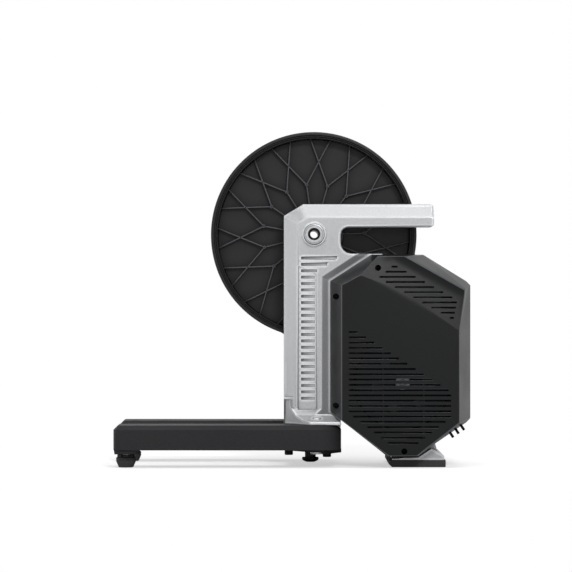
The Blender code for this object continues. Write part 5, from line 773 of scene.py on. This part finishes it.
class TRAINER_OT_drive_wheel(bpy.types.Operator):
    """Turn the drive wheel and raise the branching ribs of its web"""

    bl_idname = "trainer.drive_wheel"
    bl_label = "Drive Wheel"

    def execute(self, context):
        sizes = context.scene.trainer_sizes
        lip = half_width("drive_wheel", "z")
        near, far = ends("drive_wheel")
        dish, band, track, flange = 0.142, 0.147, 0.146, 0.004
        rib_top, floor, back = near + RIB_TOP, near + RIB_FLOOR, near + 0.027
        ring, node_radius, hub = 0.0435, 0.075, 0.0246
        profile = [
            (hub, floor),
            (ring - 0.0055, floor),
            *about(ring, rib_top, (-0.0055, 0.0006), (-0.0049, 0.0)),
            *about(ring, rib_top, (-0.0006, 0.0), (0.0, 0.0006)),
            *about(ring, floor, (0.0, -0.001), (0.001, 0.0)),
            *about(dish, floor, (-0.0012, 0.0), (0.0, -0.0012)),
            *about(
                dish, near, (0.0, 0.0034), (0.0003, 0.0024), (0.0007, 0.0018), (0.0014, 0.0018),
                (0.0019, 0.0030), (0.0025, 0.0030), (0.0030, 0.0014), (0.0034, 0.0010),
                (0.0041, 0.0010),
            ),
            *about(band, near, (-0.0005, 0.0026), (0.0, 0.0026), (0.0003, 0.0005), (0.0008, 0.0)),
            *about(lip, near, (-0.0014, 0.0), (-0.0007, 0.0004), (0.0, 0.0016)),
            *about(lip, near + flange, (0.0, -0.0006), (-0.0006, 0.0)),
            (track, near + flange),
            (track, far - flange),
            *about(lip, far - flange, (-0.0006, 0.0), (0.0, 0.0006)),
            *about(lip, far, (0.0, -0.0012), (-0.0012, 0.0)),
            *about(dish, far, (0.0010, 0.0), (0.0, -0.0010)),
            (dish - 0.003, back),
            *about(ring, back, (0.012, 0.0), (0.011, -0.0008), (0.006, -0.0008), (0.005, 0.0)),
            (hub, back),
        ]
        body = turn("drive_wheel_body", profile, AXLE, "Y", sizes.round_steps, hollow=True)
        nodes = 15
        start, fan = math.radians(2.0), math.radians(18.0)

        def polar(radius, angle):
            return AXLE + radius * Vector((math.cos(angle), 0.0, math.sin(angle)))

        sunk = 0.001
        node = polar(node_radius, start)
        far_ends = (
            polar(ring - sunk, start),
            polar(dish + sunk, start + fan),
            polar(dish + sunk, start - fan),
        )
        ribs = [rib_bar(node, end, sizes.rib_width, rib_top, floor + sunk) for end in far_ends]
        boss = about(
            0.0, rib_top, (0.0029, 0.0003), (0.0024, -0.0004), (0.0015, -0.0004), (0.0013, 0.0004)
        )
        boss = turn("rib_boss", [(0.0034, floor + sunk), *boss], node, "Y", 20)
        join(*ribs, boss)
        bpy.ops.mesh.normals_make_consistent(inside=False)
        for _ in range(nodes - 1):
            bpy.ops.mesh.duplicate()
            bpy.ops.transform.rotate(
                value=math.tau / nodes, orient_axis="Y", center_override=AXLE
            )
        join(boss, body)
        stand_in(close_up("ribbed_drive_wheel", 30.0), "drive_wheel")
        return {"FINISHED"}


class TRAINER_OT_axle(bpy.types.Operator):
    """Turn the hollow axle and its two end caps, and round its lock nut"""

    bl_idname = "trainer.axle"
    bl_label = "Axle and End Caps"

    def execute(self, context):
        face, seat = ends("axle_end_cap_left")
        outer = half_width("axle_end_cap_left")
        profile = [
            *about(
                0.0, face, (0.0061, 0.0040), (0.0079, 0.0040), (0.0086, 0.0034), (0.0086, 0.0007),
                (0.0092, 0.0), (0.0122, 0.0), (0.0126, 0.0004), (0.0130, 0.0),
            ),
            *about(outer, face, (-0.0010, 0.0), (-0.0003, 0.0003), (0.0, 0.0010)),
            (outer, seat),
            (0.0061, seat),
        ]
        turned_node("axle_end_cap_left", "end_cap_left", profile, AXLE, steps=96)
        sleeve = about(
            0.0, face, (0.0056, 0.0010), (0.0060, 0.0006), (0.0080, 0.0006), (0.0083, 0.0010),
            (0.0083, 0.0038), (0.0056, 0.0038),
        )
        piece = turn("anodised_sleeve", sleeve, AXLE, steps=72, hollow=True)
        dress(piece, "base", "axle_end_cap_left", "black_oxide_steel")
        lip = about(
            outer, -0.0620, (0.0004, 0.0002), (0.0004, -0.0036), (0.0009, -0.0043),
            (0.0019, -0.0043), (0.0027, -0.0034), (0.0030, -0.0012), (0.0042, 0.0002),
        )
        # The boss lip takes the near-white finish, partly a painted highlight round the axle.
        piece = turn("boss_lip", lip, AXLE, steps=96, hollow=True)
        dress(piece, "base", "main_frame", "diamond_cut_aluminium")
        start, end = ends("axle_end_cap_right")
        profile = [
            *about(0.0, start, (0.0061, 0.0), (0.0098, 0.0), (0.0098, 0.0030), (0.0093, 0.0035)),
            *about(0.0, end, (0.0093, -0.0012), (0.0081, 0.0), (0.0067, 0.0), (0.0061, -0.0006)),
        ]
        turned_node("axle_end_cap_right", "end_cap_right", profile, AXLE, steps=96)
        near, far = ends("hollow_axle")
        bore, shaft, flange = 0.0062, 0.0100, half_width("hollow_axle")
        flange_near, flange_far = -0.0117, -0.0058
        edge = 0.0004
        profile = [
            (bore, near),
            *about(shaft, near, (-edge, 0.0), (0.0, edge)),
            (shaft, flange_near),
            *about(flange, flange_near, (-edge, 0.0), (0.0, edge)),
            *about(flange, flange_far, (0.0, -edge), (-edge, 0.0)),
            (shaft, flange_far),
            *about(shaft, far, (0.0, -edge), (-edge, 0.0)),
            (bore, far),
        ]
        turned_node("hollow_axle", "through_axle", profile, AXLE, steps=72)
        rounded_node("axle_lock_nut", "axle_nut", edge)
        return {"FINISHED"}


class TRAINER_OT_hub(bpy.types.Operator):
    """Round the drive hub and the splined freehub body"""

    bl_idname = "trainer.hub"
    bl_label = "Hub and Freehub Body"

    def execute(self, context):
        fine = context.scene.trainer_sizes.fine_radius
        rounded_node("drive_hub", "wheel_hub", fine)
        rounded_node("freehub_body", "splined_body", fine, shortest=0.002)
        return {"FINISHED"}


class TRAINER_OT_bearings(bpy.types.Operator):
    """Turn the four sealed bearings: two races with a sunk seal between them"""

    bl_idname = "trainer.bearings"
    bl_label = "Sealed Bearings"

    def execute(self, context):
        for node, centre in (
            ("wheel_bearing_left", AXLE),
            ("wheel_bearing_right", AXLE),
            ("flywheel_bearing_left", ROTOR),
            ("flywheel_bearing_right", ROTOR),
        ):
            bore, outer = reach(node, centre)
            race = (outer - bore) * 0.24
            edge, dip = 0.0004, 0.0006
            side = [
                (bore, edge),
                (bore + edge, 0.0),
                (bore + race, 0.0),
                (bore + race, dip),
                (outer - race, dip),
                (outer - race, 0.0),
                (outer - edge, 0.0),
                (outer, edge),
            ]
            profile = mirrored(*ends(node), side)
            turned_node(node, f"sealed_{node}", profile, centre, steps=48)
        return {"FINISHED"}


def socket_screw(name, centre, axis, head, under, tip, shank, rim, socket, depth):
    """Model one socket screw: head with a hexagon recess, chamfers and a plain shank."""
    along = ALONG[axis]
    way = 1.0 if under > head else -1.0
    edge = rim * 0.14
    seat = head + way * depth * 0.12
    profile = [
        (shank * 0.8, tip),
        (shank, tip - way * shank * 0.3),
        (shank, under),
        (rim, under),
        (rim, head + way * edge),
        (rim - edge, head),
        (socket * 1.25, head),
        (socket * 1.12, seat),
    ]
    steps = 24
    piece = turn(name, profile, centre, axis, steps)
    edit(piece, "FACE")
    middle = centre + along * seat

    def on_middle(face):
        return len(face.verts) == steps and (face.calc_center_median() - middle).length < 1e-5

    choose(on_middle, "faces")
    bpy.ops.mesh.delete(type="ONLY_FACE")
    deselect()
    bpy.ops.mesh.primitive_circle_add(
        vertices=6, radius=socket, fill_type="NOTHING", location=middle, rotation=TILT[axis]
    )
    apply_place()
    join(active(), piece)
    choose(lambda part: part.is_boundary or part.is_wire)
    bpy.ops.mesh.bridge_edge_loops()
    choose(lambda part: part.is_boundary)
    bpy.ops.mesh.extrude_region()
    bpy.ops.transform.translate(value=along * way * depth)
    bpy.ops.mesh.edge_face_add()
    return close_up(name, 30.0)


def numbered(kind, count):
    """Return the names of a run of like CAD nodes."""
    return tuple(f"{kind}_{index + 1}" for index in range(count))


SCREWS = (
    (numbered("cover_screw", 4), "Y", 1, 0.0018, 0.0019),
    (numbered("guard_screw", 3), "Y", -1, 0.0018, 0.0019),
    (numbered("hub_bolt", 5), "Y", -1, 0.0023, 0.0022),
    (numbered("plate_bolt", 4), "Z", 1, 0.0031, 0.0040),
    (("left_pivot_pin", "right_pivot_pin"), "Z", 1, 0.0040, 0.0016),
    (("tensioner_bolt",), "Y", -1, 0.0029, 0.0022),
)


class TRAINER_OT_screws(bpy.types.Operator):
    """Model one screw of each kind and copy it to every place of its kind"""

    bl_idname = "trainer.screws"
    bl_label = "Screws and Bolts"

    def execute(self, context):
        for nodes, axis, way, socket, depth in SCREWS:
            along = ALONG[axis]
            model = None
            for node in nodes:
                head, tip = ends(node, axis)[::way]
                centre = axis_through(node, axis)
                rim = half_width(node)
                if model is None or abs((tip - head) - length) > 1e-5:
                    shank, drop = head_sizes(node, centre, axis, head, rim)
                    model = piece = socket_screw(
                        f"{node}_turned", centre, axis, head, head + way * drop, tip,
                        shank, rim, socket, depth,
                    )
                    length, place = tip - head, centre + along * head
                else:
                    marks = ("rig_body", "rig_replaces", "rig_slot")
                    piece = duplicate(model, f"{node}_turned", *marks)
                    bpy.ops.transform.translate(value=centre + along * head - place)
                    leave()
                stand_in(piece, node)
        return {"FINISHED"}


def head_sizes(node, centre, axis, head, rim):
    """Read a CAD screw's shank radius and head height off its corners."""
    radii, stations = corners_round(node, centre, axis)
    heights = [abs(station - head) for station in stations]
    drop = max(height for height, radius in zip(heights, radii) if radius > rim * 0.8)
    shank = max(radius for height, radius in zip(heights, radii) if height > drop * 1.5)
    return shank, drop


class TRAINER_OT_legs(bpy.types.Operator):
    """Round the edges of the two legs, the hinge plate and the sole pad"""

    bl_idname = "trainer.legs"
    bl_label = "Legs, Hinge Plate and Sole Pad"

    def execute(self, context):
        fine = context.scene.trainer_sizes.fine_radius
        for node in ("left_leg", "right_leg", "hinge_plate"):
            rounded_node(node, f"{node}_pressing", fine, 20.0, 0.006)
        rounded_node("rear_foot_pad", "sole_pad", fine, 20.0)
        return {"FINISHED"}


def threaded(low, high, radius, pitch):
    """Return a profile for a threaded rod: grooves between two chamfered ends."""
    depth = pitch * 0.45
    profile = [(radius - depth, low), (radius, low + depth)]
    station = low + depth + pitch * 0.4
    while station < high - depth - pitch:
        profile += [(radius, station), (radius - depth, station + pitch * 0.3)]
        profile += [(radius, station + pitch * 0.6)]
        station += pitch
    return [*profile, (radius, high - depth), (radius - depth, high)]


class TRAINER_OT_feet(bpy.types.Operator):
    """Turn the feet: rubber cups, threaded studs, notched rings and the middle knob"""

    bl_idname = "trainer.feet"
    bl_label = "Feet"

    def execute(self, context):
        sizes = context.scene.trainer_sizes

        def stand_thread(side, centre):
            node = f"{side}_foot_stud"
            profile = threaded(*ends(node, "Z"), half_width(node), sizes.thread_pitch)
            turned_node(node, f"{side}_foot_thread", profile, centre, "Z", 24, hollow=False)

        for side in ("left", "right"):
            node = f"{side}_foot_cup"
            centre = axis_through(node)
            top = ends(node, "Z")[1]
            outer = reach(node, centre, "Z")[1]
            profile = [
                (outer * 0.60, 0.0010),
                (outer * 0.64, 0.0),
                (outer * 0.70, 0.0),
                (outer * 0.755, 0.0008),
                (outer * 0.97, 0.0080),
                (outer, 0.0094),
                (outer, top - 0.0044),
                (outer * 0.97, top - 0.0040),
                (outer * 0.97, top - 0.0034),
                (outer, top - 0.0030),
                (outer, top - 0.0018),
                (outer * 0.97, top - 0.0007),
                (outer * 0.90, top),
                (0.0058, top),
                (0.0056, top - 0.0058),
            ]
            turned_node(node, f"{side}_foot_rubber", profile, centre, "Z", 64, hollow=False)
            rounded_node(f"{side}_foot_ring", f"{side}_lock_ring", sizes.fine_radius)
            stand_thread(side, centre)
        centre = axis_through("centre_foot_stud")
        stand_thread("centre", centre)
        outer = reach("centre_foot_knob", centre, "Z")[1]
        neck, bore = 0.0080, 0.0043
        base, top = ends("centre_foot_knob", "Z")
        disc = base + 0.0070
        profile = [
            (outer * 0.50, base),
            (outer * 0.60, base + 0.0004),
            (outer * 0.92, base + 0.0024),
            (outer, base + 0.0040),
            *about(outer, disc, (0.0, -0.0006), (-0.0006, 0.0)),
            (neck, disc),
            *about(neck, top, (0.0, -0.0005), (-0.0005, 0.0)),
            (bore, top),
            (bore, disc - 0.0027),
        ]
        piece = turn("levelling_knob", profile, centre, "Z", 48)
        edit(piece, "FACE")
        grips = 8

        def in_notch(face):
            middle = face.calc_center_median() - centre
            turned = math.atan2(middle.y, middle.x) / math.tau * grips % 1.0
            on_neck = disc < middle.z < top - 0.0006 and middle.xy.length > neck * 0.9
            return on_neck and turned < 0.5

        choose(in_notch, "faces")
        bpy.ops.mesh.extrude_region_shrink_fatten(TRANSFORM_OT_shrink_fatten={"value": -0.0011})
        stand_in(close_up("levelling_knob", 35.0), "centre_foot_knob")
        return {"FINISHED"}


class TRAINER_OT_flywheel(bpy.types.Operator):
    """Round the flywheel with its face holes, and turn its shaft and grooved pulley"""

    bl_idname = "trainer.flywheel"
    bl_label = "Flywheel, Shaft and Pulley"

    def execute(self, context):
        rounded_node("flywheel", "flywheel_rim", 0.0008)
        near, far = ends("flywheel_shaft")
        nut, shaft, shoulder, edge = 0.0110, 0.0075, 0.0100, 0.0008
        nut_end = ends("flywheel")[0] - 0.0003
        shoulder_near, shoulder_far = -0.0117, -0.0018
        profile = [
            (0.0040, near + edge),
            (0.0048, near),
            *about(nut, near, (-edge, 0.0), (0.0, edge)),
            (nut, nut_end),
            (shaft, nut_end),
            (shaft, shoulder_near),
            (shoulder, shoulder_near),
            (shoulder, shoulder_far),
            (shaft, shoulder_far),
            *about(shaft, far, (0.0, -edge), (-edge, 0.0)),
        ]
        turned_node("flywheel_shaft", "rotor_shaft", profile, ROTOR, steps=48, hollow=False)
        near, far = ends("small_pulley")
        bore, flange = reach("small_pulley", ROTOR)[0], half_width("small_pulley", "z")
        track, wall, groove, edge = 0.0250, 0.0022, 0.0011, 0.0006
        ribs = 6
        pitch = (far - near - 2 * wall) / ribs
        profile = [(bore, near), *about(flange, near, (-edge, 0.0), (0.0, edge), (0.0, wall))]
        for rib in range(ribs):
            start = near + wall + rib * pitch
            profile += [(track, start), (track, start + pitch * 0.30)]
            profile += [(track - groove, start + pitch * share) for share in (0.55, 0.75)]
        profile += [(track, far - wall)]
        profile += [*about(flange, far, (0.0, -wall), (0.0, -edge), (-edge, 0.0)), (bore, far)]
        turned_node("small_pulley", "grooved_pulley", profile, ROTOR, steps=96)
        return {"FINISHED"}


class TRAINER_OT_belt_drive(bpy.types.Operator):
    """Round the belt and the tensioner arm, and turn the tensioner's roller"""

    bl_idname = "trainer.belt_drive"
    bl_label = "Belt and Tensioner"

    def execute(self, context):
        fine = context.scene.trainer_sizes.fine_radius
        rounded_node("belt", "drive_belt", fine, 40.0)
        rounded_node("tensioner_arm", "tensioner_plate", fine)
        bore, outer = reach("tensioner_roller", ROLLER)
        side = [
            *about(bore, 0.0, (0.0, 0.0), (0.0020, 0.0), (0.0024, 0.0012)),
            *about(outer, 0.0, (-0.0022, 0.0012), (-0.0018, 0.0), (-0.0006, 0.0), (0.0, 0.0006)),
        ]
        profile = mirrored(*ends("tensioner_roller"), side)
        turned_node("tensioner_roller", "idler_roller", profile, ROLLER, steps=56)
        return {"FINISHED"}


class TRAINER_OT_brake(bpy.types.Operator):
    """Round the brake's iron core and wind its copper coil"""

    bl_idname = "trainer.brake"
    bl_label = "Brake"

    def execute(self, context):
        rounded_node("brake_core", "stator_core", context.scene.trainer_sizes.fine_radius)
        near, far = ends("brake_coil")
        bore, outer = reach("brake_coil", ROTOR)
        wires = 9
        pitch = (far - near) / wires
        profile = [(bore, near)]
        for wire in range(wires):
            start = near + wire * pitch
            profile += [(outer - 0.0006, start), (outer, start + pitch * 0.3)]
            profile += [(outer, start + pitch * 0.7)]
        profile += [(outer - 0.0006, far), (bore, far)]
        turned_node("brake_coil", "wound_coil", profile, ROTOR, steps=72)
        return {"FINISHED"}


class TRAINER_OT_electrics(bpy.types.Operator):
    """Round the control board and the light pipes, and turn the power inlet"""

    bl_idname = "trainer.electrics"
    bl_label = "Board, Lights and Inlet"

    def execute(self, context):
        rounded_node("control_board", "circuit_board", 0.0002, 40.0, 0.002, 1)
        for index, node in enumerate(numbered("status_light", 3)):
            rounded_node(node, f"light_pipe_{index + 1}", 0.0007, 40.0, segments=3)
        centre, rim = axis_through("power_inlet"), half_width("power_inlet")
        near, far = ends("power_inlet", "Z")
        barrel, flange = head_sizes("power_inlet", centre, "Z", near, rim)
        socket, pin, floor = 0.0030, 0.0010, far - 0.002
        profile = [
            *about(pin, near, (-0.0003, 0.0020), (0.0, 0.0026)),
            (pin, floor),
            (socket, floor),
            *about(socket, near, (0.0, 0.0005), (0.0005, 0.0)),
            *about(rim, near, (-0.0006, 0.0), (0.0, 0.0004), (0.0, flange)),
            (barrel, near + flange),
            *about(barrel, far, (0.0, -0.0005), (-0.0005, 0.0)),
        ]
        turned_node("power_inlet", "inlet_socket", profile, centre, "Z", 40, hollow=False)
        return {"FINISHED"}


class TRAINER_OT_stage(bpy.types.Operator):
    """Lay the floor, hang the soft lamps and set the camera"""

    bl_idname = "trainer.stage"
    bl_label = "Floor, Lamps and Camera"

    def execute(self, context):
        deselect()
        bpy.ops.mesh.primitive_plane_add(size=60.0, location=(0.0, 20.0, -0.0002))
        apply_place()
        floor = active()
        floor.name = "studio_floor"
        material = bpy.data.materials.new("matt_white_floor")
        tree = bare_tree(material)
        # The floor keeps its shadow round the trainer and runs out to plain white.
        floor_glow, room_glow, fade_start, fade_end = 0.54, 0.23, 0.42, 0.68
        paint = add(tree, "BsdfDiffuse", {"Color": linear("#f4f4f4")}).outputs[0]
        camera_ray = add(tree, "LightPath").outputs["Is Camera Ray"]
        lift = add(tree, "Math", {"operation": "MULTIPLY", 0: camera_ray, 1: floor_glow})
        glow = add(tree, "Emission", {"Color": WHITE, "Strength": lift.outputs[0]})
        shadowed = add(tree, "AddShader", {0: paint, 1: glow.outputs[0]}).outputs[0]
        plain = add(tree, "Emission", {"Color": WHITE, "Strength": 1.0}).outputs[0]
        place = add(tree, "TexCoord").outputs["Object"]
        plan = add(tree, "Mapping", {"Scale": (1.0, 1.0, 0.0), "Vector": place})
        away = add(tree, "VectorMath", {"operation": "LENGTH", 0: plan.outputs["Vector"]})
        fade = {"interpolation_type": "SMOOTHSTEP", "From Min": fade_start, "From Max": fade_end}
        fade = add(tree, "MapRange", {**fade, "Value": away.outputs["Value"]}).outputs["Result"]
        seen = add(tree, "MixShader", {0: fade, 1: shadowed, 2: plain}).outputs[0]
        mix = add(tree, "MixShader", {0: seen_rays(tree), 1: paint, 2: seen})
        add(tree, "OutputMaterial", {"Surface": mix.outputs[0]})
        floor.data.materials.append(material)
        world = bpy.data.worlds.new("soft_white_room")
        context.scene.world = world
        tree = bare_tree(world)
        dim = add(tree, "Background", {"Color": WHITE, "Strength": room_glow}).outputs[0]
        white = add(tree, "Background", {"Color": WHITE, "Strength": 1.0}).outputs[0]
        mix = add(tree, "MixShader", {0: seen_rays(tree), 1: dim, 2: white})
        add(tree, "OutputWorld", {"Surface": mix.outputs[0]})
        target = Vector((0.03, 0.0, 0.22))
        for name, place, size, power in (
            ("top_softbox", (0.1, -0.6, 2.4), 1.6, 18.0),
            ("key_softbox", (0.70, -3.05, 1.90), 0.6, 36.0),
            ("left_softbox", (-2.7, -0.9, 0.9), 0.8, 7.5),
            ("front_softbox", (0.30, -3.6, 0.3), 1.6, 2.0),
        ):
            deselect()
            bpy.ops.object.light_add(type="AREA", location=place)
            lamp = active()
            lamp.name = name
            lamp.data.size = size
            lamp.data.energy = power
            lamp.rotation_euler = (target - Vector(place)).to_track_quat("-Z", "Y").to_euler()
        deselect()
        bpy.ops.object.camera_add(location=(-0.010, -4.5, 0.263), rotation=(math.pi / 2, 0.0, 0.0))
        camera = active()
        camera.name = "studio_camera"
        camera.data.lens = 191.5
        camera.data.sensor_width = 36.0
        camera.data.clip_end = 100.0
        context.scene.camera = camera
        context.scene.view_settings.view_transform = "Standard"
        return {"FINISHED"}


def seen_rays(tree):
    """Return a socket that is 1 for camera, glossy and transmission rays."""
    rays = add(tree, "LightPath").outputs
    seen = {"operation": "MAXIMUM", 0: rays["Is Camera Ray"], 1: rays["Is Glossy Ray"]}
    seen = add(tree, "Math", seen).outputs[0]
    through = rays["Is Transmission Ray"]
    return add(tree, "Math", {"operation": "MAXIMUM", 0: seen, 1: through}).outputs[0]


OPERATORS = (
    TRAINER_OT_finishes,
    TRAINER_OT_casting,
    TRAINER_OT_housing,
    TRAINER_OT_drive_wheel,
    TRAINER_OT_axle,
    TRAINER_OT_hub,
    TRAINER_OT_bearings,
    TRAINER_OT_screws,
    TRAINER_OT_flywheel,
    TRAINER_OT_belt_drive,
    TRAINER_OT_brake,
    TRAINER_OT_electrics,
    TRAINER_OT_legs,
    TRAINER_OT_feet,
    TRAINER_OT_stage,
)


class TRAINER_PT_panel(bpy.types.Panel):
    """Sizes, colours and making steps of the bike trainer"""

    bl_label = "Bike Trainer"
    bl_idname = "TRAINER_PT_panel"
    bl_space_type = "VIEW_3D"
    bl_region_type = "UI"
    bl_category = "Bike Trainer"

    def draw(self, context):
        layout = self.layout
        for group in (context.scene.trainer_sizes, context.scene.trainer_colours):
            box = layout.box()
            for name in group.bl_rna.properties.keys():
                if name not in ("rna_type", "name"):
                    box.prop(group, name)
        for operator in OPERATORS:
            layout.operator(operator.bl_idname)


CLASSES = (TrainerSizes, TrainerColours, *OPERATORS, TRAINER_PT_panel)


def register():
    for item in CLASSES:
        bpy.utils.register_class(item)
    bpy.types.Scene.trainer_sizes = PointerProperty(type=TrainerSizes)
    bpy.types.Scene.trainer_colours = PointerProperty(type=TrainerColours)


def unregister():
    del bpy.types.Scene.trainer_colours
    del bpy.types.Scene.trainer_sizes
    for item in reversed(CLASSES):
        bpy.utils.unregister_class(item)


def main():
    """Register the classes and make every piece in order."""
    register()
    for operator in OPERATORS:
        group, name = operator.bl_idname.split(".")
        getattr(getattr(bpy.ops, group), name)()


if __name__ == "__main__":
    main()
